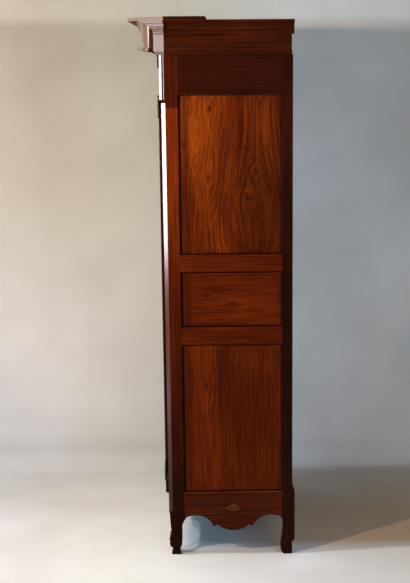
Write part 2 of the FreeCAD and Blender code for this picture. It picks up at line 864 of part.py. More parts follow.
def make_front_frame():
    reach = post_inner + size("tenon_length")
    tenon_front = front_groove_front + clear
    tenon_back = front_groove_back - clear
    level = frieze_bottom

    rail = new_body("front_top_rail_form")
    inset = front + size("frieze_inset")
    pad(rail, "board", "YZ", -post_inner, post_inner,
        [(front, opening_top), (front, level), (inset, level), (inset, carcass_top),
         (front_rail_back, carcass_top), (front_rail_back, opening_top)])
    pad(rail, "tenons", "XZ", tenon_front, tenon_back,
        rectangle(-reach, opening_top + clear, reach, carcass_top - clear))
    cutters = front_holes["front_top_rail"]
    cutters = cutters + [mirrored("far_" + hole.Name, hole) for hole in cutters]
    keep("front_top_rail", cut("front_top_rail", rail, cutters))

    apron = new_body("front_apron_form")
    edge = apron_edge(size(0), post_inner, size("front_cusp_reach"), size("front_lobe_reach"))
    pad(apron, "board", "XZ", front, front_rail_back,
        edge + [(post_inner, opening_bottom), (-post_inner, opening_bottom)])
    tenon_low = size("apron_shoulder") + clear
    tenon_high = opening_bottom - clear
    pad(apron, "left_tenon", "XZ", tenon_front, tenon_back,
        rectangle(-reach, tenon_low, -post_inner + 1.0, tenon_high))
    pad(apron, "right_tenon", "XZ", tenon_front, tenon_back,
        rectangle(post_inner - 1.0, tenon_low, reach, tenon_high))
    cutters = front_holes["front_apron"]
    cutters = cutters + [mirrored("far_" + hole.Name, hole) for hole in cutters]
    keep("front_apron", cut("front_apron", apron, cutters))

    board = new_body("front_frieze_board")
    proud = front - size("frieze_proud")
    end = half_width - size("frieze_end_recess")
    pad(board, "board", "YZ", -end, end,
        [(inset, level), (proud, level), (proud, carcass_top), (inset, carcass_top)])
    bevel_start = proud + size("frieze_bevel")
    deep = size("frieze_bevel") + 5.0
    for side, sign in (("right", 1), ("left", -1)):
        pocket(board, f"{side}_bevel", "XY", level - 1.0, carcass_top + 1.0,
               [((end + 2.0) * sign, bevel_start + 2.0), ((end + 2.0) * sign, bevel_start - deep),
                ((end - deep) * sign, bevel_start - deep)])
    step = proud - size("frieze_step")
    batten_end = end - size("frieze_bevel")
    batten_bottom = carcass_top - size("batten_height")
    pad(board, "batten", "YZ", -batten_end, batten_end,
        [(proud + 1.0, batten_bottom), (proud, batten_bottom), (step, batten_bottom + 4.0),
         (step, carcass_top - 7.0), (step - 3.0, carcass_top), (proud + 1.0, carcass_top)])
    keep("front_frieze_board", board)


# ---------------------------------------------------------------- back and inside

back_rail_front = back - size("back_rail_depth")
back_groove_front = back_rail_front + 6.0
back_board_back = back_groove_front + size("back_board_thickness")
BACK_RAILS = {
    "back_bottom_rail": (size("back_rail_bottom"), size("back_rail_bottom") + size("back_rail_height")),
    "back_top_rail": (carcass_top - size("back_rail_height"), carcass_top),
}


def make_back():
    reach = rear_post_inner + size("rear_tenon_length")
    tenon_front = back_groove_front + clear
    tenon_back = back_groove_front + size("groove_width") - clear
    depth = size("groove_depth")
    for rail, (low, high) in BACK_RAILS.items():
        body = new_body(rail)
        pad(body, "board", "XZ", back_rail_front, back,
            rectangle(-rear_post_inner, low, rear_post_inner, high))
        pad(body, "tenons", "XZ", tenon_front, tenon_back,
            rectangle(-reach, size(low) + clear, reach, size(high) - clear))
        edge = size(high) - depth if rail == "back_bottom_rail" else size(low) - 1.0
        far_edge = size(high) + 1.0 if rail == "back_bottom_rail" else size(low) + depth
        pocket(body, "groove", "XZ", back_groove_front, back_board_back + clear,
               rectangle(-reach - 1.0, edge, reach + 1.0, far_edge))
        keep(rail, body)

    low = BACK_RAILS["back_bottom_rail"][1] - depth + 1.0
    high = BACK_RAILS["back_top_rail"][0] + depth - 1.0
    span = rear_post_inner * 2 + size("groove_depth") * 2 - 2.0
    count = int(SIZES["back_board_count"])
    pitch = span / size("back_board_count")
    start = -rear_post_inner - size("groove_depth") + 1.0
    lap = size("back_board_thickness") / 2
    front_face = back_groove_front + clear
    boards = []
    for number in range(count):
        left = start + pitch * number
        right = left + pitch - 0.3
        left_lap = 0.0 if number == 0 else 8.0
        body = new_body(f"back_board_{number + 1}")
        right_lap = 0.0 if number == count - 1 else 8.0
        outline = [(left, front_face + lap), (left, back_board_back)]
        outline += [(right, back_board_back)]
        if right_lap:
            outline += [(right, front_face + lap + 0.1), (right + right_lap, front_face + lap + 0.1),
                        (right + right_lap, front_face)]
        else:
            outline += [(right, front_face)]
        outline += [(left + left_lap + 0.3, front_face)] if left_lap else [(left, front_face)]
        if left_lap:
            outline += [(left + left_lap + 0.3, front_face + lap)]
        else:
            outline = outline[1:]
        pad(body, "board", "XY", low, high, outline)
        boards.append(body)
    keep("back_boards", group("back_boards", boards))

    heel = new_body("right_heel_block")
    face = back + size("heel_thickness")
    high = size("heel_top")
    pad(heel, "block", "YZ", rear_post_inner, half_width,
        [(back, size("heel_bottom")), (face - 4.0, size("heel_bottom")),
         (face, size("heel_bottom") + 9.0), (face, high - size("heel_slope")), (back, high)])
    keep("rear_heel_blocks", group("rear_heel_blocks", [heel, mirrored("left_heel_block", heel)]))


def group(label, pieces):
    """Several loose pieces that share one node."""
    compound = doc.addObject("Part::Compound", label)
    compound.Label = label
    compound.Links = pieces
    return compound


def notched_board(label, low, high):
    """A board that fills the plan of the carcass, notched round the four posts."""
    gap = size("board_clearance")
    front_edge = front_rail_back + gap
    rear_edge = back_rail_front - gap
    side = rail_inner - gap
    fore = front_post_back + gap
    aft = rear_post_front - gap
    front_corner = post_inner - gap
    rear_corner = rear_post_inner - gap
    body = new_body(label)
    pad(body, "board", "XY", low, high, [
        (-front_corner, front_edge), (front_corner, front_edge), (front_corner, fore),
        (side, fore), (side, aft), (rear_corner, aft), (rear_corner, rear_edge),
        (-rear_corner, rear_edge), (-rear_corner, aft), (-side, aft), (-side, fore),
        (-front_corner, fore)])
    return keep(label, body)


def make_inside():
    gap = size("board_clearance")
    floor_bottom = apron_top - size("floor_thickness")
    notched_board("floor_board", floor_bottom, apron_top)
    bottoms = [floor_bottom]
    for number in range(3):
        bottom = size("first_shelf") + size("shelf_pitch") * number
        bottoms.append(bottom)
        label = f"shelf_{number + 1}"
        keep(label, box(label,
                        (-rail_inner + gap, front + size("shelf_setback"), bottom),
                        (rail_inner - gap, rear_post_front - 2.0, bottom + size("shelf_thickness"))))
    cleats = []
    inner = rail_inner - size("cleat_thickness")
    for number, bottom in enumerate(bottoms):
        right = box(f"cleat_right_{number + 1}",
                    (inner, front_post_back, bottom - size("cleat_height")),
                    (rail_inner, rear_post_front, bottom))
        cleats += [right, mirrored(f"cleat_left_{number + 1}", right)]
    keep("shelf_cleats", group("shelf_cleats", cleats))
    inside = half_width + size("side_frieze_overhang") - size("cornice_wall") - 1.5
    keep("roof_board", box("roof_board",
                           (-inside, front + size("corner_depth") + 1.0, carcass_top),
                           (inside, back - 2.0, carcass_top + size("roof_thickness"))))


# ---------------------------------------------------------------- cornice

board_bottom = top - size("crown_board_thickness")
frieze_face = half_width + size("side_frieze_overhang")
crown_face = half_width + size("side_crown_overhang")
corner_back = front + size("corner_depth")
corner_inner = half_width - size("corner_width")
moulded_height = board_bottom - carcass_top
DRAWN_HEIGHT = 126.0
DRAWN_OVERHANG = 125.0
DRAWN_SIDE = 22.0


def rise(drawn):
    """A level in the cornice: drawn 126 mm high under its top board, and kept in proportion."""
    return carcass_top + moulded_height * (drawn / DRAWN_HEIGHT)


def ahead(drawn):
    """A place ahead of the carcass, drawn for a crown that reaches 125 mm forward."""
    return front - size("crown_overhang") * (drawn / DRAWN_OVERHANG)


def step(drawn):
    """A step of the side mouldings, drawn for a crown 22 mm beyond the frieze."""
    return (crown_face - frieze_face) * (drawn / DRAWN_SIDE)


def make_cornice_sides():
    """Each side has a frieze with a bead at its foot and, over it, a crown moulding."""
    inner = frieze_face - size("cornice_wall")
    foot = carcass_top
    split = rise(74.0)

    def out(drawn):
        return frieze_face + step(drawn)

    frieze = new_body("cornice_side_right")
    pad(frieze, "frieze", "XZ", corner_back, back - size("rear_frieze_recess"), [
        (inner, foot), (out(3.0), foot), (out(3.0), rise(2.0)), Via(out(5.0), rise(6.0)),
        (out(2.5), rise(10.0)), (frieze_face, rise(12.0)), (frieze_face, split), (inner, split)])
    keep("cornice_side_right", frieze)
    keep("cornice_side_left", mirrored("cornice_side_left", frieze))

    crown = new_body("cornice_crown_right")
    pad(crown, "crown", "XZ", corner_back, back + 4.0, [
        (inner, split), (out(1.5), split), Via(out(3.5), rise(81.0)), (out(1.5), rise(89.0)),
        (frieze_face, rise(91.0)), (out(1.5), rise(93.0)), Via(out(5.0), rise(106.0)),
        (out(15.0), rise(114.0)), (out(17.0), rise(114.0)), (out(17.0), rise(117.0)),
        (crown_face, rise(118.0)), (crown_face, board_bottom), (inner, board_bottom)])
    keep("cornice_crown_right", crown)
    keep("cornice_crown_left", mirrored("cornice_crown_left", crown))


def make_cornice_corners():
    """A corner block: mouldings run along the cant, and die into the flare of the front."""
    inside = size("corner_width")
    foot = carcass_top
    lip = board_bottom
    run = new_body("cornice_cant_run")
    pad(run, "run", "XZ", -inside * 3.6, inside * 1.7, [
        (-inside, foot), (0, foot), Via(step(5.5), rise(4.0)), (0, rise(8.0)),
        (step(-1.5), rise(10.0)), (step(-1.5), rise(12.5)), (0, rise(14.0)), (0, rise(72.0)),
        (step(2.5), rise(73.5)), (step(2.5), rise(76.0)), Via(step(6.5), rise(83.0)),
        (step(4.0), rise(89.0)), (step(4.0), rise(91.5)), (step(8.0), rise(92.5)),
        Via(step(11.0), rise(97.0)), (step(8.5), rise(100.5)), (step(8.5), rise(102.5)),
        (step(12.0), rise(104.0)), (step(13.5), rise(110.0)), (step(13.5), rise(113.0)),
        (step(17.0), rise(115.0)), (step(17.0), lip), (-inside, lip)])
    turn = FreeCAD.Rotation(FreeCAD.Vector(0, 0, 1), -45)
    run.Placement = FreeCAD.Placement(FreeCAD.Vector(0, 0, 0), turn)
    place(run, frieze_face, corner_back, 0)

    flare = new_body("cornice_flare")
    pad(flare, "flare", "YZ", corner_inner, crown_face, [
        (corner_back, foot), (ahead(14.0), foot), (ahead(26.0), rise(16.0)),
        (ahead(26.0), rise(80.0)), (ahead(28.0), rise(90.0)), (ahead(36.0), rise(98.0)),
        (ahead(39.0), rise(98.0)), (ahead(39.0), rise(103.0)), (ahead(54.0), rise(112.0)),
        (ahead(57.0), rise(112.0)), (ahead(57.0), rise(117.0)), (ahead(82.0), rise(124.0)),
        (ahead(82.0), lip), (corner_back, lip)])
    right = keep("cornice_corner_right", common("cornice_corner_right", run, flare))
    keep("cornice_corner_left", mirrored("cornice_corner_left", right))


def make_cornice_front():
    """The front runs forward of the corner blocks, with ends that splay back to them."""
    bed_top = rise(27.0)
    bead_top = rise(31.0)
    flat = corner_inner - size("front_splay")

    def plan(label, low, high, forward, start):
        body = new_body(label)
        bend = size("front_splay")
        pad(body, "plan", "XY", low, high, [
            (corner_inner, corner_back), (-corner_inner, corner_back), (-corner_inner, start),
            Via(-corner_inner + bend * 0.32, start - (start - forward) * 0.62),
            (-flat, forward), (flat, forward),
            Via(corner_inner - bend * 0.32, start - (start - forward) * 0.62),
            (corner_inner, start)])
        return body

    bed = new_body("bed_profile")
    pad(bed, "profile", "YZ", -corner_inner, corner_inner, [
        (corner_back, carcass_top), (ahead(14.0), carcass_top), (ahead(24.0), rise(6.0)),
        (ahead(38.0), rise(12.0)), (ahead(66.0), rise(19.0)), (ahead(90.0), rise(21.5)),
        (ahead(95.0), rise(24.0)), (ahead(90.0), bed_top), (ahead(82.0), bed_top),
        Via(ahead(77.0), bead_top), (ahead(72.0), bed_top), (corner_back, bed_top)])
    bed_plan = plan("bed_plan", carcass_top, bead_top + 1.0, ahead(97.0), ahead(40.0))
    keep("cornice_front_bed", common("cornice_front_bed", bed, bed_plan))

    face = new_body("front_profile")
    pad(face, "profile", "YZ", -corner_inner, corner_inner, [
        (corner_back, bed_top), (ahead(62.0), bed_top), Via(ahead(73.0), rise(68.0)),
        (ahead(90.0), rise(114.0)), (ahead(92.0), board_bottom), (corner_back, board_bottom)])
    face_plan = plan("front_plan", bed_top, board_bottom, ahead(93.0), ahead(30.0))
    hollow = box("cornice_front_hollow", (-flat, ahead(40.0), bed_top - 1.0),
                 (flat, corner_back + 1.0, board_bottom + 1.0))
    keep("cornice_front", cut("cornice_front", common("cornice_front_form", face, face_plan),
                              [hollow]))

    board = new_body("cornice_crown_board")
    rear = front + size("crown_board_depth")
    lead = front - size("crown_overhang")
    half = size("crown_front_half")
    pad(board, "board", "XY", board_bottom, top, [
        (-crown_face, rear), (-crown_face, corner_back), (-half, lead), (half, lead),
        (crown_face, corner_back), (crown_face, rear)])
    pocket(board, "slanted_end", "YZ", -crown_face - 1.0, crown_face + 1.0, [
        (rear - 6.0, top), (rear + 1.0, top + 1.0), (rear + 1.0, board_bottom + 2.0)])
    keep("cornice_crown_board", board)

    inner = frieze_face - size("cornice_wall")
    keep("cornice_back_rail", box("cornice_back_rail",
                                  (-inner, back - 27.0, carcass_top + size("roof_thickness")),
                                  (inner, back - size("rear_frieze_recess"), rise(98.0))))


# ---------------------------------------------------------------- door

door_half = post_inner + size("door_lap")
door_front = front - size("door_proud")
door_back = door_front + size("door_thickness")
door_seat = front - size("door_seat_gap")
core_half = post_inner - size("door_gap")
core_bottom = opening_bottom + size("door_gap") * 0.6
core_top = opening_top - size("door_gap") * 0.6
stile_inner = door_half - size("door_stile")
panel_bottom = size("door_bottom") + size("door_rail")
door_groove_front = front - size("groove_width") / 2
door_groove_back = door_groove_front + size("groove_width")
DOOR_OPENINGS = {
    "lower": (panel_bottom, size("lower_rail_bottom")),
    "middle": (lower_rail_top, size("upper_rail_bottom")),
    "upper": (upper_rail_top, door_shoulder),
}


def arched(grow, low):
    """The upper opening: straight sides, and an arch that rises out of two soft shoulders."""
    side = stile_inner + grow
    shoulder = door_shoulder + grow
    crown = door_arch + grow
    bend = stile_inner * 0.62
    return [
        (-side, size(low) - grow), (side, size(low) - grow), (side, shoulder),
        Via(stile_inner * 0.81 + grow * 0.3, shoulder + 8.0),
        (bend + grow * 0.3, shoulder + 32.0), Via(0, crown),
        (-bend - grow * 0.3, shoulder + 32.0),
        Via(-stile_inner * 0.81 - grow * 0.3, shoulder + 8.0), (-side, shoulder)]


def door_outline(name):
    low, high = DOOR_OPENINGS[name]

    def outline_at(growth):
        growth = size(growth)
        if name == "upper":
            return arched(growth, low)
        return rectangle(-stile_inner - growth, low - growth, stile_inner + growth, high + growth)
    return outline_at


def make_door():
    mouldings = [
        moulding_cutter(f"door_{name}_moulding", "XZ", door_front, -size("door_moulding"),
                        door_outline(name))
        for name in DOOR_OPENINGS
    ]
    depth = size("groove_depth")
    tongue = size("tenon_length") * 1.5
    bottom = size("door_bottom")
    rails = {
        "door_bottom_rail": (bottom, panel_bottom),
        "door_lower_rail": (size("lower_rail_bottom"), lower_rail_top),
        "door_upper_rail": (size("upper_rail_bottom"), upper_rail_top),
        "door_top_rail": (door_shoulder, door_top),
    }
    laps = [
        box("door_bottom_lap", (-door_half - 1.0, door_seat, bottom - 1.0),
            (door_half + 1.0, door_back + 1.0, core_bottom)),
        box("door_top_lap", (-door_half - 1.0, door_seat, core_top),
            (door_half + 1.0, door_back + 1.0, door_top + 1.0)),
    ]
    holes = {}
    for rail, (low, high) in rails.items():
        upper_peg = size(high) - size("peg_inset")
        lower_peg = size(low) + size("peg_inset")
        if rail == "door_top_rail":
            lower_peg = size(low) + 60.0
            upper_peg = size(high) - 40.0
        if rail == "door_bottom_rail":
            lower_peg = size(low) + 35.0
        places = [(stile_inner + size("peg_inset"), z) for z in (lower_peg, upper_peg)]
        holes[rail] = pegs_at("door_pegs", places, door_front, "y")

    stile = new_body("door_stile_form")
    soft = 3.0
    pad(stile, "stile", "XY", bottom, door_top, [
        (stile_inner, door_front), (door_half - soft, door_front),
        Via(door_half - soft * 0.3, door_front + soft * 0.3), (door_half, door_front + soft),
        (door_half, door_seat), (core_half, door_seat), (core_half, door_back),
        (stile_inner, door_back)])
    pocket(stile, "groove", "XZ", door_groove_front, door_groove_back,
           rectangle(stile_inner - 1.0, core_bottom, stile_inner + depth, core_top))
    cutters = list(laps) + list(mouldings)
    for rail, (low, high) in rails.items():
        cutters.append(box(f"{rail}_mortise",
                           (stile_inner - 1.0, door_groove_front, mortise_low(low)),
                           (stile_inner + tongue + 1.0, door_groove_back, mortise_high(high))))
        cutters += holes[rail]
    jointed = cut("door_stile_jointed", stile, cutters)
    slots = []
    for name, middle in hinge_middles.items():
        slots.append(box(f"{name}_door_slot",
                         (hinge_x - size("hinge_leaf_reach") - leaf_gap, leaf_front - leaf_gap,
                          middle + leaf_start - leaf_gap),
                         (door_half + 1.0, leaf_front + size("hinge_leaf") + leaf_gap,
                          middle + leaf_end + leaf_gap)))
    keep("door_hinge_stile", cut("door_hinge_stile", jointed, slots))
    far = mirrored("door_stile_far", jointed)
    keep("door_lock_stile", cut("door_lock_stile", far, [keyhole("stile_keyhole", door_front - 1.0,
                                                                 door_back + 1.0)]))

    for rail, (low, high) in rails.items():
        body = new_body(f"{rail}_form")
        if rail == "door_top_rail":
            upper = arched(size(0), low)
            outline = [(-stile_inner, high)] + list(reversed(upper[2:])) + [(stile_inner, high)]
        else:
            outline = rectangle(-stile_inner, low, stile_inner, high)
        pad(body, "board", "XZ", door_front, door_back, outline)
        pad(body, "tenons", "XZ", door_groove_front + clear, door_groove_back - clear,
            rectangle(-stile_inner - tongue, mortise_low(low) + clear, -stile_inner + 0.0,
                      mortise_high(high) - clear),
            rectangle(stile_inner, mortise_low(low) + clear, stile_inner + tongue,
                      mortise_high(high) - clear))
        cutters = list(mouldings)
        if rail in ("door_bottom_rail", "door_top_rail"):
            cutters += laps
        cutters += groove_cutters(rail, low, high)
        cutters += holes[rail] + [mirrored("far_" + hole.Name, hole) for hole in holes[rail]]
        keep(rail, cut(rail, body, cutters))

    reach = depth - 1.0
    for name in DOOR_OPENINGS:
        outline_at = door_outline(name)
        body = new_body(f"door_{name}_panel")
        edge_back = door_groove_back - 0.25
        edge_front = edge_back - size("panel_edge")
        pad(body, "plate", "XZ", edge_front, edge_back, outline_at(size(reach)))
        loft(body, "field", "XZ", edge_front, outline_at(size(reach)),
             edge_front - 6.0, outline_at(-size("panel_bevel")))
        keep(f"door_{name}_panel", body)


def mortise_low(low):
    """A tenon keeps clear of the lap at the door's lower edge."""
    low = size(low)
    return low if low.value > core_bottom.value else core_bottom + 6.0


def mortise_high(high):
    """A tenon keeps clear of the lap at the door's upper edge."""
    high = size(high)
    return high if high.value < core_top.value else core_top - 6.0


def groove_cutters(rail, low, high):
    """Grooves for the panels in a door rail's edges; the top rail's groove follows its arch."""
    depth = size("groove_depth")
    cutters = []
    names = {
        "door_bottom_rail": ("lower",),
        "door_lower_rail": ("lower", "middle"),
        "door_upper_rail": ("middle", "upper"),
        "door_top_rail": ("upper",),
    }[rail]
    for name in names:
        cutter = new_body(f"{rail}_{name}_groove")
        pad(cutter, "groove", "XZ", door_groove_front, door_groove_back, door_outline(name)(depth))
        cutters.append(cutter)
    return cutters


# ---------------------------------------------------------------- hinges

leaf_front = hinge_y + 2.5


def hinge_half(label, middle, sign, bore):
    """Half of a turned hinge: a barrel with two rings, and on the upper half a long finial."""
    body = new_body(label)
    radius = size("hinge_radius")
    ring = size("hinge_ring_radius")
    barrel = size("hinge_barrel") / 2
    tip = barrel + size("hinge_finial")

    def at(height):
        return size(height) * sign

    outline = [(bore, at(0.2)), (radius, at(0.2)), (radius, at(barrel)), (ring, at(barrel + 1.5))]
    if sign > 0:
        outline += [(radius * 0.6, at(barrel + 6.0)), (radius * 1.1, at(barrel + 12.0)),
                    (radius * 0.5, at(barrel + 18.0)), (radius * 0.9, at(tip - 9.0)),
                    (0.8, at(tip)), (0, at(tip))]
    else:
        outline += [(radius * 0.6, at(barrel + 7.0)), (0, at(barrel + 7.0))]
    if size(bore).value > 0:
        outline += [(0, at(barrel + 1.0)), (bore, at(barrel + 1.0))]
    turned(body, "turning", outline)
    place(body, hinge_x, hinge_y, middle)
    return body


def make_hinges():
    door_halves = []
    post_halves = []
    bore = size("hinge_pin_radius") + size("hinge_pin_clearance")
    reach = size("hinge_leaf_reach")
    for name, middle in hinge_middles.items():
        upper = hinge_half(f"{name}_hinge_cap", middle, 1, bore)
        leaf = box(f"{name}_door_leaf", (hinge_x - reach, leaf_front, middle + leaf_start),
                   (hinge_x - 3.5, leaf_front + size("hinge_leaf"), middle + leaf_end))
        door_halves.append(fuse(f"{name}_door_half", [upper, leaf]))
        lower = hinge_half(f"{name}_hinge_base", middle, -1, size(0))
        pin = doc.addObject("Part::Cylinder", f"{name}_pin")
        bind(pin, "Radius", size("hinge_pin_radius"))
        bind(pin, "Height", size("hinge_barrel") / 2 - 2.0)
        place(pin, hinge_x, hinge_y, size(middle) - 2.0)
        plate = box(f"{name}_post_leaf",
                    (hinge_x - leaf_half, hinge_y + 3.5, middle - leaf_end),
                    (hinge_x + leaf_half, hinge_y + reach, middle - leaf_start))
        post_halves.append(fuse(f"{name}_post_half", [lower, pin, plate]))
    keep("hinge_door_halves", group("hinge_door_halves", door_halves))
    keep("hinge_post_halves", group("hinge_post_halves", post_halves))


# ---------------------------------------------------------------- lock

lock_x = -(core_half - size("lock_case_width") / 2 - 1.5)
key_x = lock_x
key_z = size("lock_height")
case_left = lock_x - size("lock_case_width") / 2
case_right = lock_x + size("lock_case_width") / 2
case_back = door_back + size("lock_case_depth")
bolt_front = door_back + 11.0
bolt_bottom = key_z + size("key_bit") + 1.0


def keyhole(label, near, far):
    """The keyhole: a round hole with a slot below it for the bit."""
    hole = doc.addObject("Part::Cylinder", label + "_round")
    bind(hole, "Radius", size("key_radius") + 0.3)
    bind(hole, "Height", size(far) - size(near))
    hole.Placement = FreeCAD.Placement(FreeCAD.Vector(0, 0, 0),
                                       FreeCAD.Rotation(FreeCAD.Vector(1, 0, 0), -90))
    place(hole, key_x, near, key_z)
    slot_half = size("key_bit_thickness") / 2 + 0.4
    slot = box(label + "_slot", (key_x - slot_half, near, key_z - size("key_bit") - 1.5),
               (key_x + slot_half, far, key_z))
    return fuse(label, [hole, slot])


def make_lock():
    wall = size("lock_wall")
    tall = size("lock_case_height") / 2
    case = new_body("lock_case_form")
    pad(case, "case", "XZ", door_back, case_back,
        rectangle(case_left, key_z - tall, case_right, key_z + tall))
    pocket(case, "hollow", "XZ", door_back - 1.0, case_back - wall,
           rectangle(case_left + wall, key_z - tall + wall, case_right - wall, key_z + tall - wall))
    gap = size("bolt_clearance")
    window = box("bolt_window",
                 (case_left - 1.0, bolt_front - gap, bolt_bottom - gap),
                 (case_left + wall + 1.0, bolt_front + size("bolt_thickness") + gap,
                  bolt_bottom + size("bolt_height") + gap))
    keep("lock_case", cut("lock_case", case, [window]))

    bolt = new_body("lock_bolt")
    tip = case_left - 0.5
    tail = case_right - wall - 16.0
    pad(bolt, "bolt", "XZ", bolt_front, bolt_front + size("bolt_thickness"),
        rectangle(tip, bolt_bottom, tail, bolt_bottom + size("bolt_height")))
    keep("lock_bolt", bolt)

    keeper = new_body("lock_keeper")
    pad(keeper, "plate", "YZ", -post_inner, -post_inner + 1.2,
        rectangle(bolt_front - 12.0, bolt_bottom - 14.0, bolt_front + 20.0, bolt_bottom + 30.0))
    pocket(keeper, "window", "YZ", -post_inner - 1.0, -post_inner + 2.2,
           rectangle(bolt_front - 0.6, bolt_bottom - 0.6,
                     bolt_front + size("bolt_thickness") + 0.6,
                     bolt_bottom + size("bolt_height") + 0.6))
    keep("lock_keeper", keeper)

    plate = new_body("escutcheon_form")
    high = size("plate_height") / 2
    wide = size("plate_width") / 2
    pad(plate, "plate", "XZ", door_front - size("plate_thickness"), door_front, [
        (key_x, key_z + high), Via(key_x + wide * 0.62, key_z + high * 0.76),
        (key_x + wide * 0.4, key_z + high * 0.44), Via(key_x + wide, key_z + 4.0),
        (key_x + wide * 0.4, key_z - high * 0.44), Via(key_x + wide * 0.62, key_z - high * 0.76),
        (key_x, key_z - high), Via(key_x - wide * 0.62, key_z - high * 0.76),
        (key_x - wide * 0.4, key_z - high * 0.44), Via(key_x - wide, key_z + 4.0),
        (key_x - wide * 0.4, key_z + high * 0.44), Via(key_x - wide * 0.62, key_z + high * 0.76)])
    keep("escutcheon", cut("escutcheon", plate,
                           [keyhole("plate_keyhole", door_front - size("plate_thickness") - 1.0,
                                    door_front + 1.0)]))

    shank = new_body("key_shank")
    radius = size("key_radius")
    reach = size("key_reach")
    inner_end = size("door_thickness") + size("lock_case_depth") - size("lock_wall") - 1.0
    turned(shank, "shank", [
        (0, -reach), (radius, -reach), (radius, -6.5), (radius + 1.8, -4.5), (radius, -2.5),
        (radius, inner_end), (0, inner_end)])
    shank.Placement = FreeCAD.Placement(FreeCAD.Vector(0, 0, 0),
                                        FreeCAD.Rotation(FreeCAD.Vector(1, 0, 0), -90))
    place(shank, key_x, door_front, key_z)
    bit_half = size("key_bit_thickness") / 2
    bit = box("key_bit", (key_x - bit_half, door_back + 4.0, key_z - size("key_bit")),
              (key_x + bit_half, door_back + 16.0, key_z))
    wire = size("key_wire")
    spread = size("key_bow_spread")
    bow_radius = size("key_bow_radius")
    bow_middle = door_front - reach - bow_radius

    def bow_outline(half):
        return [(bow_middle - half, key_z + spread), Via(bow_middle, key_z + spread + half),
                (bow_middle + half, key_z + spread), (bow_middle + half, key_z - spread),
                Via(bow_middle, key_z - spread - half), (bow_middle - half, key_z - spread)]

    bow = new_body("key_bow")
    pad(bow, "ring", "YZ", key_x - wire, key_x + wire,
        bow_outline(bow_radius + wire), bow_outline(bow_radius - wire))
    keep("key", fuse("key", [shank, bit, bow]))


# ---------------------------------------------------------------- build and write


def finish_pegs():
    """The far side's pegs mirror the near side's, and each set is one node."""
    for node, near in peg_sets.items():
        far = [mirrored("far_" + peg.Name, peg) for peg in near]
        keep(node, group(node, near + far))


make_posts()
make_side_frame()
make_front_frame()
make_back()
make_inside()
make_cornice_sides()
make_cornice_corners()
make_cornice_front()
make_door()
make_hinges()
make_lock()
finish_pegs()
doc.recompute()

faults = [f"{thing.Label}: {thing.State}" for thing in doc.Objects
          if {"Invalid", "Error"} & set(thing.State)]
for node, piece in parts.items():
    if piece.Shape.isNull() or not piece.Shape.isValid() or not piece.Shape.Solids:
        faults.append(f"{node}: no sound solid")
if faults:
    raise RuntimeError("; ".join(faults))

os.makedirs("parts", exist_ok=True)
for node, piece in parts.items():
    piece.Shape.exportStep(f"parts/{node}.step")
whole = Part.makeCompound([piece.Shape for piece in parts.values()]).BoundBox
print(f"{len(parts)} nodes, {whole.XLength:.1f} x {whole.YLength:.1f} x {whole.ZLength:.1f} mm, "
      f"centre {whole.Center.x:.2f}, {whole.Center.y:.2f}, floor {whole.ZMin:.2f}")
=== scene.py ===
# %% [markdown]
# # A country wardrobe in old varnished cherry
# The cabinet is tall and narrow: a frame of posts and rails, loose panels in its sides,
# one long door in front and a deep cornice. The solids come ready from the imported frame.
# This notebook gives each timber, brass and iron surface its finish, adds the small carved
# work that the solids leave plain, and sets up the room, the light and the camera.

# %% Load the frame
import math
import bpy
from mathutils import Matrix, Vector


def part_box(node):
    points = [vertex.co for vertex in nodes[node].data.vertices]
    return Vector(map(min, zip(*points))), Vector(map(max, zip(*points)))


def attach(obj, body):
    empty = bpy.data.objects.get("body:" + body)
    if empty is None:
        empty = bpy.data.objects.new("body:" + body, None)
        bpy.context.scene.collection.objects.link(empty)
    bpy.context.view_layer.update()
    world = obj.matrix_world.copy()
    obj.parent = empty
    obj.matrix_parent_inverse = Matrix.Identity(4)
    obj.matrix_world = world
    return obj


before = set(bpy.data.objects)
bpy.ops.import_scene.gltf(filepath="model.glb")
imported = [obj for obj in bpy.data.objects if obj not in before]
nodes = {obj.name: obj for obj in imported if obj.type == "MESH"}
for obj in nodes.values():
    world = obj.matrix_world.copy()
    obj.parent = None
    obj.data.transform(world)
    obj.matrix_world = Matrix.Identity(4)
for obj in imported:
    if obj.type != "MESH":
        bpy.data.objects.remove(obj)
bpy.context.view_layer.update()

# %% [markdown]
# ## Places
# The carving and the painted shadow lines in the panels' grooves have to sit exactly on the cabinet.
# Their places could be typed in, but they are read from the solids here, so that they
# follow when the cabinet is made wider or taller. The side that faces the camera is the
# plane of the posts' outer faces.

# %% Named places on the cabinet
MM = 0.001
REAR_TENON = 20 * MM
side_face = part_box("rear_post_right")[1].x
front_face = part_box("front_apron")[0].y
frame_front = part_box("front_post_right")[1].y
frame_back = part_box("side_upper_rail_right")[1].y - REAR_TENON
frame_middle = (frame_front + frame_back) / 2
print("side face at x", round(side_face, 4), "front face at y", round(front_face, 4))

# %% [markdown]
# ## The camera
# The cabinet is shown from its side, nearly square on, from a little above a standing eye.
# A wide lens close by would make the cornice loom. This one is long enough for the edges
# to stay almost parallel. It looks down a little, so the floor shows, and its shift puts the
# cabinet beside the middle of the picture.

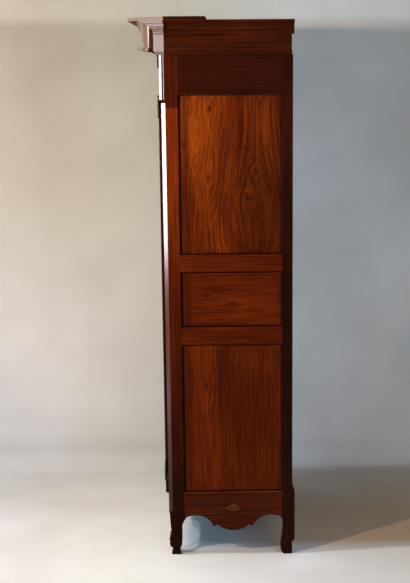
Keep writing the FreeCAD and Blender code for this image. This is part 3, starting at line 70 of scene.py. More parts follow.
# %% Camera
IMAGE_HEIGHT = 583
FOCAL_PIXELS = 1150.0
CAMERA_AT = Vector((4.7529, 0.0032, 1.9172))
camera_data = bpy.data.cameras.new("camera")
camera_data.sensor_width = 36.0
camera_data.lens = FOCAL_PIXELS * camera_data.sensor_width / IMAGE_HEIGHT
camera_data.shift_x = -0.0535
camera_data.shift_y = 0.0033
camera = bpy.data.objects.new("camera", camera_data)
bpy.context.scene.collection.objects.link(camera)
yaw = math.radians(-1.096)
pitch = math.radians(11.134)
roll = math.radians(-0.424)
ahead = Vector((-math.cos(yaw) * math.cos(pitch), -math.sin(yaw) * math.cos(pitch), -math.sin(pitch)))
level_right = Vector((-math.sin(yaw), math.cos(yaw), 0.0))
level_up = level_right.cross(ahead)
right = level_right * math.cos(roll) + level_up * math.sin(roll)
up = level_up * math.cos(roll) - level_right * math.sin(roll)
turn = Matrix((right, up, -ahead)).transposed()
camera.matrix_world = Matrix.Translation(CAMERA_AT) @ turn.to_4x4()
bpy.context.scene.camera = camera
print("lens", round(camera_data.lens, 2), "mm, at", CAMERA_AT[:])

# %% [markdown]
# ## Nodes and colours
# A material is a graph of small nodes. One function adds a node of any kind with its
# settings and links, and one turns an sRGB hex colour into the linear values that Blender
# works in.

# %% Helpers for materials
FACTOR, UNDER, OVER, MIXED = 0, 6, 7, 2  # the sockets of a Mix node that mixes two colours


def linear(hex_colour):
    """The linear red, green and blue of an sRGB colour, with full opacity."""
    channels = [int(hex_colour[i:i + 2], 16) / 255 for i in (1, 3, 5)]
    return [c / 12.92 if c <= 0.04045 else ((c + 0.055) / 1.055) ** 2.4 for c in channels] + [1.0]


def add(tree, kind, inputs=(), stops=(), **settings):
    """Adds a node and returns its outputs.

    inputs are the values of its sockets in order, or a dictionary of them by name or number,
    and a value may be another node's output. stops are a colour ramp's (place, colour) steps,
    where a number stands for a grey.
    """
    node = tree.nodes.new("ShaderNode" + kind)
    for name, value in settings.items():
        setattr(node, name, value)
    by_socket = inputs if isinstance(inputs, dict) else dict(enumerate(inputs))
    for name, value in by_socket.items():
        if isinstance(value, bpy.types.NodeSocket):
            tree.links.new(value, node.inputs[name])
        else:
            node.inputs[name].default_value = value
    for _ in stops[2:]:
        node.color_ramp.elements.new(0.5)
    for number, (place, colour) in enumerate(stops):
        element = node.color_ramp.elements[number]
        element.position = place
        element.color = linear(colour) if isinstance(colour, str) else (colour, colour, colour, 1)
    return node.outputs


def new_material(name):
    """A material with an empty graph, and the graph."""
    material = bpy.data.materials.new(name)
    material.use_nodes = True
    material.node_tree.nodes.clear()
    return material, material.node_tree


print("deep cherry red is", [round(c, 4) for c in linear("#642203")[:3]], "in linear values")

# %% [markdown]
# ## The grain of cherry
# Cherry has fine pores and soft bands where each year's growth meets the next. A plank
# sawn near the outside of the log shows them as long tongues, one sawn near the heart as
# straight lines, and a knot pushes them aside. Real boards are solid, so the pattern is
# made in three dimensions instead of being laid on each face: rings round an axis that runs
# along the grain, bent by slow noise, with long thin streaks and pores over them. Then the
# grain runs on round every edge and moulding.

# %% Sizes of the grain, and how it is stretched
UP, LEVEL, ACROSS = 2, 1, 0  # the axis that a board's grain follows: Z, Y or X
RING_SPACING = 6.5 * MM
STREAK_WIDTH = 5 * MM
STREAK_LENGTH = 300 * MM
PORE_WIDTH = 1.6 * MM  # a real pore is a tenth of this and wouldn't show
PORE_LENGTH = 45 * MM
BENDS_PER_METRE = 6.0  # one bend in about 170 mm
BEND_DRAWN_OUT = 8.0
BEND_OF_THE_LOG = 0.16
BEND_IN_RINGS = 6.0
CLOUDS_PER_METRE = 9.0  # one cloud in about 110 mm
CLOUD_DRAWN_OUT = 4.0
BOARDS_APART = (0.31, 0.043, 0.77)
SEEDS_APART = (0.37, 0.53, 0.71)  # metres in the log from one seed's board to the next one's
print("a ring is", RING_SPACING / MM, "mm wide and a streak", STREAK_LENGTH / MM, "mm long")


def drawn_out(tree, place, along, width, length):
    """Coordinates in which one unit is a width across the grain and a length along it."""
    scale = [1.0 / width] * 3
    scale[along] = 1.0 / length
    return add(tree, "Mapping", {"Vector": place, "Scale": scale})[0]


def fading(tree, squared, sharpness):
    """1 in the middle of a place, fading outwards with the squared distance."""
    fall = add(tree, "Math", (squared, -sharpness), operation="MULTIPLY")[0]
    return add(tree, "Math", (fall,), operation="EXPONENT")[0]

# %% [markdown]
# ### Knots
# A knot is a branch sawn across. It has a dark core, rings of its own that are longer along
# the grain than across it, and it pushes the grain of the board aside for several times its
# width. Each of the three fades from the knot's middle at its own rate.

# %% The knots
KNOT_RING_SPACING = 9 * MM
KNOT_RING_DEPTH = 0.11
KNOT_DRAWN_OUT = 0.6
KNOT_WAVER = 16.0
KNOT_PUSH = 0.75
CORE_FADES, RINGS_FADE, PUSH_FADES = 1.6, 0.3, 0.07
print("a knot's rings are", KNOT_RING_SPACING / MM, "mm apart")


def knot_field(tree, y, z, along, knots, bend):
    """The rings round the knots, how near the knots are, their dark cores, and how far the
    grain is pushed aside across its own direction."""
    rings, nearness, core, aside = 0.5, 0.0, 0.0, 0.0
    for knot_y, knot_z, radius, darkness in knots:
        off_y = add(tree, "Math", (y, knot_y), operation="SUBTRACT")[0]
        off_z = add(tree, "Math", (z, knot_z), operation="SUBTRACT")[0]
        long_way, short_way = (off_z, off_y) if along == UP else (off_y, off_z)
        drawn = add(tree, "Math", (long_way, KNOT_DRAWN_OUT), operation="MULTIPLY")[0]
        squared = add(tree, "Math", (short_way, short_way), operation="MULTIPLY")[0]
        squared = add(tree, "Math", (drawn, drawn, squared), operation="MULTIPLY_ADD")[0]
        distance = add(tree, "Math", (squared,), operation="SQRT")[0]
        in_radii = add(tree, "Math", (squared, 1.0 / radius ** 2), operation="MULTIPLY")[0]
        near = fading(tree, in_radii, RINGS_FADE)
        waver = add(tree, "Math", (bend, KNOT_WAVER), operation="MULTIPLY")[0]
        turns = add(tree, "Math", (distance, math.tau / KNOT_RING_SPACING, waver),
                    operation="MULTIPLY_ADD")[0]
        wave = add(tree, "Math", (turns,), operation="SINE")[0]
        ring = add(tree, "Math", (wave, near), operation="MULTIPLY")[0]
        rings = add(tree, "Math", (ring, KNOT_RING_DEPTH, rings), operation="MULTIPLY_ADD")[0]
        nearness = add(tree, "Math", (nearness, near), operation="MAXIMUM")[0]
        dark = add(tree, "Math", (fading(tree, in_radii, CORE_FADES), darkness),
                   operation="MULTIPLY")[0]
        core = add(tree, "Math", (core, dark), operation="MAXIMUM")[0]
        pull = add(tree, "Math", (short_way, -KNOT_PUSH), operation="MULTIPLY")[0]
        aside = add(tree, "Math", (pull, fading(tree, in_radii, PUSH_FADES), aside),
                    operation="MULTIPLY_ADD")[0]
    return rings, nearness, core, aside

# %% [markdown]
# ### A board
# The tone of a board is a sum: a little of the year's ring, much of the streaks, and slow
# clouds. A wide panel is glued up from two boards, and the second one is taken from another
# place in the log, so that the grain breaks off at the joint.

# %% The tone of a board
RING_SHARE, STREAK_SHARE, CLOUD_SHARE, DARKEST = 0.20, 1.60, 0.80, -0.83
KNOT_SHARE = 0.85
print("a board is mostly streaks:", STREAK_SHARE, "against", RING_SHARE, "of its rings")


def heart_rings(tree, slow, along, bend):
    """How many rings a place is from the heart of the log."""
    parts = add(tree, "SeparateXYZ", (slow,))
    first, second = [parts[axis] for axis in (ACROSS, LEVEL, UP) if axis != along]
    warped = add(tree, "Math", (bend, BEND_OF_THE_LOG, first), operation="MULTIPLY_ADD")[0]
    squared = add(tree, "Math", (warped, warped), operation="MULTIPLY")[0]
    squared = add(tree, "Math", (second, second, squared), operation="MULTIPLY_ADD")[0]
    from_heart = add(tree, "Math", (squared,), operation="SQRT")[0]
    rings = add(tree, "Math", (from_heart, 1.0 / RING_SPACING), operation="MULTIPLY")[0]
    return add(tree, "Math", (bend, BEND_IN_RINGS, rings), operation="MULTIPLY_ADD")[0]


def grain(tree, place, along, seed, joint=None, knots=()):
    """The wood's tone from 0 (dark) to 1 (light), its pores, its streaks, its knots' cores and
    which board of a panel this is."""
    _, y, z = add(tree, "SeparateXYZ", (place,))
    shift = [seed * step for step in SEEDS_APART]
    moved = add(tree, "VectorMath", (place, shift), operation="ADD")[0]
    second_board = 0.0
    if joint is not None:
        second_board = add(tree, "Math", (y, joint), operation="GREATER_THAN")[0]
        apart = add(tree, "VectorMath", {0: BOARDS_APART, "Scale": second_board},
                    operation="SCALE")[0]
        moved = add(tree, "VectorMath", (moved, apart), operation="ADD")[0]
    slow = drawn_out(tree, moved, along, 1.0, BEND_DRAWN_OUT)
    bend = add(tree, "TexNoise", {"Vector": slow, "Scale": BENDS_PER_METRE, "Detail": 3.0,
                                  "Roughness": 0.45, "Distortion": 0.4})[0]
    knot_rings, nearness, core, aside = knot_field(tree, y, z, along, knots, bend)
    if knots:
        push = add(tree, "CombineXYZ", {LEVEL if along == UP else UP: aside})[0]
        moved = add(tree, "VectorMath", (moved, push), operation="ADD")[0]
        slow = drawn_out(tree, moved, along, 1.0, BEND_DRAWN_OUT)
    year = add(tree, "Math", (heart_rings(tree, slow, along, bend),), operation="FRACT")[0]
    streaks = add(tree, "TexNoise", {
        "Vector": drawn_out(tree, moved, along, STREAK_WIDTH, STREAK_LENGTH), "Scale": 1.0,
        "Detail": 4.0, "Roughness": 0.7})[0]
    pores = add(tree, "TexNoise", {
        "Vector": drawn_out(tree, moved, along, PORE_WIDTH, PORE_LENGTH), "Scale": 1.0,
        "Detail": 2.0, "Roughness": 0.6})[0]
    pores = add(tree, "ValToRGB", (pores,), stops=((0.34, 1.0), (0.46, 0.0)))[0]
    cloudy = add(tree, "TexNoise", {
        "Vector": drawn_out(tree, moved, along, 1.0, CLOUD_DRAWN_OUT),
        "Scale": CLOUDS_PER_METRE, "Detail": 3.0, "Roughness": 0.6})[0]
    tone = DARKEST
    for share, pattern in ((RING_SHARE, year), (STREAK_SHARE, streaks), (CLOUD_SHARE, cloudy)):
        tone = add(tree, "Math", (pattern, share, tone), operation="MULTIPLY_ADD")[0]
    if knots:
        kept = add(tree, "Math", (nearness, -KNOT_SHARE, 1.0), operation="MULTIPLY_ADD")[0]
        tone = add(tree, "Math", (tone, knot_rings), operation="SUBTRACT")[0]
        tone = add(tree, "Math", (tone, kept, knot_rings), operation="MULTIPLY_ADD")[0]
    return tone, pores, streaks, core, second_board

# %% [markdown]
# ## Two centuries of varnish and hands, and painted light
# Old varnish turns the wood a deep red-brown. Where a panel meets its frame, a black line of
# painted shadow lies in the groove, and painted shade darkens the panel's near bevel. Edges are
# rubbed pale, which is wear and partly a painted highlight where they catch the lamp, and the
# canted corner is polished like glass. Painted shade makes the wood darkest near the floor and
# under the cornice, a painted highlight of the warm lamp lies on the upper panel, and a painted
# reflection greys the cornice's canted front faces. A painted map could hold all this, but here
# each kind of wear and of painted light is a layer that finds its own place from where a
# surface lies or the way it faces, so each finish below can say where it is worn and where
# light and shade are painted.

# %% Where the wood is worn, and where shade and highlight are painted
# The black line is painted shadow in the panel's groove. It is widest at the near side of a
# panel, and thinner by these numbers at its far side, its foot and its head.
GROOVE_SHADOW_THINNER = (2.6, 1.5, 2.2)
GROOVE_SHADOW_FULL, GROOVE_SHADOW_ENDS = 3 * MM, 12 * MM
# Painted shade on the near bevel fades out between these distances, and the bevel's painted shade and
# the groove's painted shadow are this dark.
BEVEL_SHADE_STARTS, BEVEL_SHADE_ENDS = 30 * MM, 46 * MM
BEVEL_SHADE_DARKENS, GROOVE_SHADOW_DARKENS = 0.5, 0.95
RUBS_PER_METRE = 24.0  # one rubbed spot in about 40 mm
SLANT, SLANT_SPREAD = 0.62, 0.32  # a slanting face's share along X, give or take the spread
# Squeezes the height of the painted highlight, so that it is taller than wide.
PAINTED_SHEEN_TALLER = 0.4
SHADED_HEIGHT = 2.0  # the height up to which brightness steps are given
print("the black line is up to", GROOVE_SHADOW_ENDS / MM, "mm wide")


def painted_sheen_place(tree, place, painted_sheen):
    """1 in the middle of a painted highlight, where the warm lamp's sheen lies on the wood; it is
    taller than wide.
    """
    middle_y, middle_z, reach = painted_sheen
    _, y, z = add(tree, "SeparateXYZ", (place,))
    off_y = add(tree, "Math", (y, middle_y), operation="SUBTRACT")[0]
    off_y = add(tree, "Math", (off_y, 1.0 / reach), operation="MULTIPLY")[0]
    off_z = add(tree, "Math", (z, middle_z), operation="SUBTRACT")[0]
    off_z = add(tree, "Math", (off_z, PAINTED_SHEEN_TALLER / reach), operation="MULTIPLY")[0]
    squared = add(tree, "Math", (off_y, off_y), operation="MULTIPLY")[0]
    squared = add(tree, "Math", (off_z, off_z, squared), operation="MULTIPLY_ADD")[0]
    return fading(tree, squared, 1.0)


def rubbed_and_highlit_edges(tree, place, faces):
    """The rubbed spots of faces that slant, such as rounded edges and mouldings: wear, and partly a
    painted highlight where these edges catch the lamp.
    """
    slant = add(tree, "Math", (faces[ACROSS], SLANT, SLANT_SPREAD), operation="COMPARE")[0]
    spots = add(tree, "TexNoise", {"Vector": place, "Scale": RUBS_PER_METRE, "Detail": 3.0,
                                   "Roughness": 0.6})[0]
    spots = add(tree, "ValToRGB", (spots,), stops=((0.35, 0.15), (0.62, 0.8)))[0]
    return add(tree, "Math", (slant, spots), operation="MULTIPLY")[0]


def painted_groove_shade(tree, place, opening):
    """The painted shade on a panel's near bevel, and the black line of painted shadow all round it in
    the groove.
    """
    (y_low, y_high), (z_low, z_high) = opening
    _, y, z = add(tree, "SeparateXYZ", (place,))
    gaps = [add(tree, "Math", pair, operation="SUBTRACT")[0]
            for pair in ((y, y_low), (y_high, y), (z, z_low), (z_high, z))]
    # Painted shade on the near bevel.
    bevel = add(tree, "MapRange", {
        "Value": gaps[0], "From Min": BEVEL_SHADE_STARTS, "From Max": BEVEL_SHADE_ENDS,
        "To Min": BEVEL_SHADE_DARKENS, "To Max": 0.0})[0]
    gap = gaps[0]
    for other, thinner in zip(gaps[1:], GROOVE_SHADOW_THINNER):
        other = add(tree, "Math", (other, thinner), operation="MULTIPLY")[0]
        gap = add(tree, "Math", (gap, other), operation="MINIMUM")[0]
    # Painted shadow in the groove, all round the panel.
    line = add(tree, "MapRange", {
        "Value": gap, "From Min": GROOVE_SHADOW_FULL, "From Max": GROOVE_SHADOW_ENDS,
        "To Min": GROOVE_SHADOW_DARKENS, "To Max": 0.0})[0]
    return bevel, line


def painted_shade_by_height(tree, place, painted_shade_steps):
    """A grey for each height, through (height, brightness) steps: painted shade, darker where less
    light falls.
    """
    z = add(tree, "SeparateXYZ", (place,))[UP]
    reach = add(tree, "MapRange", {"Value": z, "From Min": 0.0, "From Max": SHADED_HEIGHT})[0]
    steps = [(height / SHADED_HEIGHT, bright) for height, bright in painted_shade_steps]
    return add(tree, "ValToRGB", (reach,), stops=steps)[0]

# %% [markdown]
# ### The cherry finish
# Cherry with an oil varnish: a soft sheen over most of it, and a hard gloss where hands and
# cloths have polished the canted corners. The gloss is a clear coat over the wood. The
# wood's own specular is kept low, because old varnish is full of fine scratches and throws
# little light back.

# %% Layers of wear and of painted light
# The black of the painted shadow in the grooves, the black of dark faces, and the grey of the painted
# reflection on canted faces.
GROOVE_SHADOW_BLACK, FACE_BLACK, PAINTED_REFLECTION_GREY = "#120502", "#140604", "#86705f"
FACES_DARKEN = 0.85
SQUARE_ON, SLANTED = 0.9, 0.1  # shares of a face's normal that point along an axis


def layers_of_wear_and_painted_light(tree, place, faces, in_front, dark, edge_wear_and_highlight, opening, black_faces, painted_reflection):
    """(where, colour) layers, the lowest first, of the kinds of wear and of painted shade, highlight
    and reflection that a piece has.
    """
    layers = []
    # Rubbed edges: wear, and partly a painted highlight on edges that catch the lamp.
    if edge_wear_and_highlight is not None:
        layers.append((rubbed_and_highlit_edges(tree, place, faces), edge_wear_and_highlight))
    # Painted shade on the near bevel and painted shadow in the groove.
    if opening is not None:
        bevel, line = painted_groove_shade(tree, place, opening)
        layers += [(bevel, dark), (line, GROOVE_SHADOW_BLACK)]
    if black_faces is not None:
        flat = add(tree, "Math", (faces[black_faces], SQUARE_ON), operation="GREATER_THAN")[0]
        flat = add(tree, "Math", (flat, FACES_DARKEN), operation="MULTIPLY")[0]
        layers.append((flat, FACE_BLACK))
    # A painted reflection greys the canted faces that turn to the front.
    if painted_reflection:
        slanted = add(tree, "Math", (faces[ACROSS], SLANTED), operation="GREATER_THAN")[0]
        canted = add(tree, "Math", (in_front, slanted), operation="MULTIPLY")[0]
        canted = add(tree, "Math", (canted, painted_reflection), operation="MULTIPLY")[0]
        layers.append((canted, PAINTED_REFLECTION_GREY))
    return layers


print("dark faces are", FACES_DARKEN, "black")

# %% Varnish
PORE_DEPTH = 0.4 * MM
STREAKS_RAISE, PORES_SINK = 0.5, -0.7  # shares of the pore depth
GLOSS_VARIES = 0.16
POLISH_STARTS, POLISH_WHOLE = 0.3, 1.3  # heights over the floor
POLISH_LOW_DOWN = 0.3


def varnished(tree, place, colour, pores, streaks, grime, in_front, polish, gloss):
    """The shader of the varnished wood. It is duller where it is grimy, and the polish of
    front faces fades towards the floor."""
    height = add(tree, "Math", (streaks, STREAKS_RAISE), operation="MULTIPLY")[0]
    height = add(tree, "Math", (pores, PORES_SINK, height), operation="MULTIPLY_ADD")[0]
    bump = add(tree, "Bump", {"Height": height, "Strength": 0.22, "Distance": PORE_DEPTH})[0]
    rough = add(tree, "MapRange", {"Value": grime, "From Min": 0.3, "From Max": 0.7,
                                   "To Min": gloss, "To Max": gloss + GLOSS_VARIES})[0]
    glassy = 0.0
    if polish:
        z = add(tree, "SeparateXYZ", (place,))[UP]
        fresh = add(tree, "MapRange", {"Value": z, "From Min": POLISH_STARTS,
                                       "From Max": POLISH_WHOLE, "To Min": POLISH_LOW_DOWN})[0]
        glassy = add(tree, "Math", (in_front, polish), operation="MULTIPLY")[0]
        glassy = add(tree, "Math", (glassy, fresh), operation="MULTIPLY")[0]
    return add(tree, "BsdfPrincipled", {
        "Base Color": colour, "Roughness": rough, "IOR": 1.5, "Specular IOR Level": 0.045,
        "Normal": bump, "Coat Weight": glassy, "Coat Roughness": 0.2, "Coat IOR": 1.7})[0]


print("pores are", PORE_DEPTH / MM, "mm deep in the varnish")

# %% A cherry finish
GRIME_PER_METRE = 3.6  # one darker patch in about 280 mm
# How much the painted highlight of the warm lamp lightens the wood, and how much the pores show.
PAINTED_SHEEN_LIGHTENS, PORES_SHOW = 0.34, 0.5
CORE_BLACK, JOINT_SHADE = "#1a0804", "#0c0400"
FRONT_FACING = -0.35  # a face is turned to the front where its normal's Y is below this


def cherry(name, dark, middle, light, along, seed, joint=None, knots=(), opening=None, edge_wear_and_highlight=None,
           black_faces=None, polish=0.0, painted_shade_steps=None, painted_sheen=None, gloss=0.36, aged=0.35,
           second=1.0, painted_reflection=0.0):
    """Varnished cherry with its grain along one axis (0, 1 or 2).

    joint is the Y at which a panel's two boards meet, and knots are (y, z, radius, darkness).
    opening is the (y, z) range whose near bevel gets painted shade and whose edges get a black
    line of painted shadow, edge_wear_and_highlight the colour of rubbed edges, which is partly a
    painted highlight, black_faces the axis whose faces are dark, polish the gloss of front faces,
    painted_shade_steps the (height, brightness) steps of painted shade over the whole piece,
    painted_sheen a (y, z, radius) paler place of painted highlight, second the brightness of a
    panel's second board, and painted_reflection the grey of a painted reflection on canted faces.
    """
    material, tree = new_material(name)
    coordinates = add(tree, "TexCoord")
    place = coordinates["Object"]
    facing = add(tree, "VectorMath", (coordinates["Normal"],), operation="ABSOLUTE")[0]
    faces = add(tree, "SeparateXYZ", (facing,))
    to_the_front = add(tree, "SeparateXYZ", (coordinates["Normal"],))[LEVEL]
    in_front = add(tree, "Math", (to_the_front, FRONT_FACING), operation="LESS_THAN")[0]

    tone, pores, streaks, core, board = grain(tree, place, along, seed, joint, knots)
    # A painted highlight: the warm lamp's sheen lightens the wood here.
    if painted_sheen is not None:
        tone = add(tree, "Math", (painted_sheen_place(tree, place, painted_sheen), PAINTED_SHEEN_LIGHTENS, tone),
                   operation="MULTIPLY_ADD")[0]
    colour = add(tree, "ValToRGB", (tone,), stops=((0.02, dark), (0.42, middle), (0.92, light)))[0]
    grime = add(tree, "TexNoise", {"Vector": place, "Scale": GRIME_PER_METRE, "Detail": 5.0,
                                   "Roughness": 0.6})[0]
    grimy = add(tree, "ValToRGB", (grime,), stops=((0.40, 0.0), (0.68, aged)))[0]

    layers = []
    if joint is not None:
        shaded = add(tree, "Math", (board, 1.0 - second), operation="MULTIPLY")[0]
        layers.append((shaded, JOINT_SHADE))
    in_pores = add(tree, "Math", (pores, PORES_SHOW), operation="MULTIPLY")[0]
    layers += [(in_pores, dark), (core, CORE_BLACK), (grimy, dark)]
    layers += layers_of_wear_and_painted_light(tree, place, faces, in_front, dark, edge_wear_and_highlight, opening, black_faces, painted_reflection)
    for where, paint in layers:
        colour = add(tree, "Mix", {FACTOR: where, UNDER: colour, OVER: linear(paint)},
                     data_type="RGBA")[MIXED]
    # Painted shade by height over the whole piece.
    if painted_shade_steps is not None:
        shade = painted_shade_by_height(tree, place, painted_shade_steps)
        colour = add(tree, "Mix", {FACTOR: 1.0, UNDER: colour, OVER: shade}, data_type="RGBA",
                     blend_type="MULTIPLY")[MIXED]
    surface = varnished(tree, place, colour, pores, streaks, grime, in_front, polish, gloss)
    add(tree, "OutputMaterial", {"Surface": surface})
    return material


print("a darker patch every", round(1000 / GRIME_PER_METRE), "mm")

# %% [markdown]
# ## Which piece gets which cut of wood
# The upright pieces and the tall panels have upright grain. The rails, the middle panels
# and the cornice have level grain. The panels are the brightest wood of the side, and the
# two tall ones are two boards wide, so they get a joint and knots of their own.

# %% Places for the finishes


def from_front(distance_mm):
    """A Y from a distance in millimetres behind the front apron's face."""
    return front_face + distance_mm * MM


def side_opening(below, above):
    """The Y and Z ranges of an opening of the side frame, between two of its rails."""
    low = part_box(f"side_{below}_right")[1].z
    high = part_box(f"side_{above}_right")[0].z
    return (frame_front, frame_back), (low, high)


print("the upper panel's opening:", side_opening("upper_rail", "top_rail"))

# %% Finishes for the timber
finishes = {
    # The upper panel's paler place is a painted highlight of the warm lamp, and its steps by height
    # are painted shade that darkens its lower part.
    "upper_panel": cherry(
        "cherry upper panel", "#320b02", "#642203", "#ae4e0a", UP, 1.0, joint=from_front(278),
        second=0.66, opening=side_opening("upper_rail", "top_rail"),
        painted_sheen=(from_front(125), 1.66, 0.085), painted_shade_steps=[(1.2, 0.72), (1.45, 0.80), (1.7, 1.0)],
        knots=[(from_front(179), 1.766, 0.012, 0.8), (from_front(83), 1.635, 0.012, 0.7),
               (from_front(350), 1.536, 0.009, 0.8), (from_front(361), 1.377, 0.036, 0.25),
               (from_front(396), 1.479, 0.008, 0.8), (from_front(172), 1.507, 0.010, 0.6),
               (from_front(318), 1.432, 0.009, 0.7)]),
    "middle_panel": cherry(
        "cherry middle panel", "#2e0d02", "#521800", "#84340a", LEVEL, 7.0,
        opening=side_opening("lower_rail", "upper_rail"),
        knots=[(from_front(159), 1.058, 0.010, 0.7), (from_front(259), 1.026, 0.009, 0.6)]),
    "lower_panel": cherry(
        "cherry lower panel", "#300e02", "#581a00", "#843606", UP, 4.0, joint=from_front(200),
        second=0.72, opening=side_opening("apron", "lower_rail"),
        knots=[(from_front(154), 0.700, 0.010, 0.6), (from_front(284), 0.779, 0.008, 0.6),
               (from_front(250), 0.350, 0.009, 0.5)]),
    "side_rail": cherry("cherry side rail", "#2c0b02", "#4c1500", "#702a06", LEVEL, 11.0,
                        edge_wear_and_highlight="#3a1406"),
    # The top rail's dark cherry and its steps by height are painted shade under the cornice, and its
    # pale rubbed edge is partly a painted highlight.
    "top_rail": cherry("cherry top rail", "#220803", "#380f02", "#4c1c04", LEVEL, 13.0, edge_wear_and_highlight="#6a3818",
                       painted_shade_steps=[(1.79, 0.60), (1.90, 0.92)]),
    # The front post's steps by height are painted shade: dark towards the floor, and darker at once
    # under the cornice.
    "front_post": cherry(
        "cherry front post", "#380e02", "#6c2202", "#983c08", UP, 17.0, polish=1.0,
        painted_shade_steps=[(0.05, 0.11), (0.3, 0.12), (0.6, 0.25), (0.9, 0.40), (1.1, 0.45), (1.3, 0.70),
              (1.5, 1.0), (1.765, 1.08), (1.772, 0.36), (1.95, 0.42)]),
    # The rear post's dark cherry and its steps by height are painted shade, away from the light from
    # the front.
    "rear_post": cherry("cherry rear post", "#160501", "#260a02", "#3e1604", UP, 19.0,
                        painted_shade_steps=[(0.3, 0.75), (1.2, 0.85), (1.7, 1.25), (1.9, 1.1)]),
    "apron": cherry("cherry apron", "#240902", "#3c1203", "#5c2407", LEVEL, 23.0, edge_wear_and_highlight="#5c2e14"),
    # The carving's cherry is paler than the apron's, a painted highlight on its ribs.
    "carving": cherry("cherry carving", "#321207", "#5c2b14", "#8e5636", LEVEL, 25.0, aged=0.3),
    "cornice_side": cherry("cherry cornice side", "#200802", "#381102", "#562208", LEVEL, 29.0),
    # The grey on the cornice's canted front faces is a painted reflection.
    "cornice_corner": cherry("cherry cornice corner", "#200802", "#381205", "#562408", LEVEL, 30.0,
                             polish=0.18, painted_reflection=0.4),
    "cornice_front": cherry("cherry cornice front", "#1c0702", "#301004", "#4a1e08", ACROSS, 31.0,
                            polish=0.10, painted_reflection=0.6),
    "front_level": cherry("cherry front rail", "#260a02", "#4a1605", "#6a280c", ACROSS, 37.0,
                          polish=1.0, black_faces=0),
    "door_up": cherry("cherry door stile", "#2a0b02", "#561a04", "#782e0c", UP, 41.0, polish=0.8,
                      black_faces=0),
    "door_panel": cherry("cherry door panel", "#300e02", "#642105", "#8a3a0d", UP, 43.0,
                         polish=0.5),
    "door_level": cherry("cherry door rail", "#2a0b02", "#561a04", "#782e0c", ACROSS, 47.0,
                         polish=0.6),
    "back": cherry("unfinished back board", "#3a2614", "#5e4326", "#7a5c38", UP, 53.0, gloss=0.62),
    "inside": cherry("unfinished shelf", "#3a2614", "#64482a", "#84643e", ACROSS, 59.0, gloss=0.62),
    "peg": cherry("riven peg", "#180804", "#2c1006", "#401c0c", ACROSS, 61.0),
}
print("finishes:", len(finishes))

# %% Which finish each piece has
# A piece takes the finish of the first entry that its name starts with.
timber = {
    "side_upper_panel": "upper_panel", "side_lower_panel": "lower_panel",
    "side_middle_panel": "middle_panel", "side_top_rail": "top_rail", "side_apron": "apron",
    "side_upper_rail": "side_rail", "side_lower_rail": "side_rail",
    "front_post": "front_post", "rear_post": "rear_post",
    "cornice_side": "cornice_side", "cornice_crown_right": "cornice_side",
    "cornice_crown_left": "cornice_side", "cornice_crown_board": "cornice_front",
    "cornice_corner": "cornice_corner", "cornice_front": "cornice_front",
    "cornice_back_rail": "inside", "front_": "front_level", "door_middle_panel": "door_level",
    "door_upper_panel": "door_panel", "door_lower_panel": "door_panel", "door_hinge_stile": "door_up",
    "door_lock_stile": "door_up", "door_pegs": "peg", "frame_pegs": "peg", "door_": "door_level",
    "back_boards": "back", "back_": "inside", "rear_heel_blocks": "rear_post",
    "floor_board": "inside", "roof_board": "inside", "shelf_": "inside",
}
print("timber rules:", len(timber))

# %% [markdown]
# ## Brass and iron
# The hinges and the key plate are cast brass, with a warm dull shine where hands rub them
# and brown tarnish in patches. The lock, its bolt and the key are forged iron, nearly black
# under a thin skin of old oil that spreads the highlight wide. Dents could be modelled, but
# the pieces are so small that a shallow bump is enough.

# %% Metals
STAINS_PER_METRE = 160.0  # one patch of tarnish in about 6 mm
DENT_DEPTH = 0.2 * MM


def old_metal(name, base, stain, roughness, metal):
    """A bare metal under patches of a stain that are rougher than it."""
    material, tree = new_material(name)
    place = add(tree, "TexCoord")["Object"]
    patches = add(tree, "TexNoise", {"Vector": place, "Scale": STAINS_PER_METRE, "Detail": 4.0,
                                     "Roughness": 0.6})[0]
    stained = add(tree, "ValToRGB", (patches,), stops=((0.42, 0.0), (0.66, 0.85)))[0]
    colour = add(tree, "Mix", {FACTOR: stained, UNDER: linear(base), OVER: linear(stain)},
                 data_type="RGBA")[MIXED]
    rough = add(tree, "Math", (stained, 0.25, roughness), operation="MULTIPLY_ADD")[0]
    bump = add(tree, "Bump", {"Height": patches, "Strength": 0.2, "Distance": DENT_DEPTH})[0]
    shader = add(tree, "BsdfPrincipled", {"Base Color": colour, "Metallic": metal,
                                          "Roughness": rough, "Normal": bump})[0]
    add(tree, "OutputMaterial", {"Surface": shader})
    return material


brass = old_metal("aged cast brass", "#5a4428", "#1e140c", 0.34, 1.0)
iron = old_metal("oiled forged iron", "#4a443e", "#1e1814", 0.45, 0.9)
metal_nodes = {"hinge_door_halves": brass, "hinge_post_halves": brass, "escutcheon": brass,
               "lock_case": iron, "lock_bolt": iron, "lock_keeper": iron, "key": iron}
print("metal pieces:", len(metal_nodes))

# %% Give every solid its finish
for node_name, solid in nodes.items():
    material = metal_nodes.get(node_name)
    if material is None:
        kind = next(kind for start, kind in timber.items() if node_name.startswith(start))
        material = finishes[kind]
    for slot in solid.material_slots:
        slot.material = material
print("finished", len(nodes), "solids")

# %% [markdown]
# ## The carved shell
# The apron's low boss carries a scallop shell: seven ribs that fan out from a small knob,
# with a spray of little leaves on each side of it. A height map could dent the apron, but
# its flat face has too few vertices for that, and a carver too cuts one rib after another.
# So one drop is modelled and copied for every rib and leaf.

# %% One drop of the carving
SHELL_LEVEL = 0.197
KNOB_BELOW = 11 * MM
DROP_LENGTH, DROP_WIDTH, DROP_THICKNESS = 29 * MM, 6.4 * MM, 4.6 * MM
DROP_TAPER = 1.1


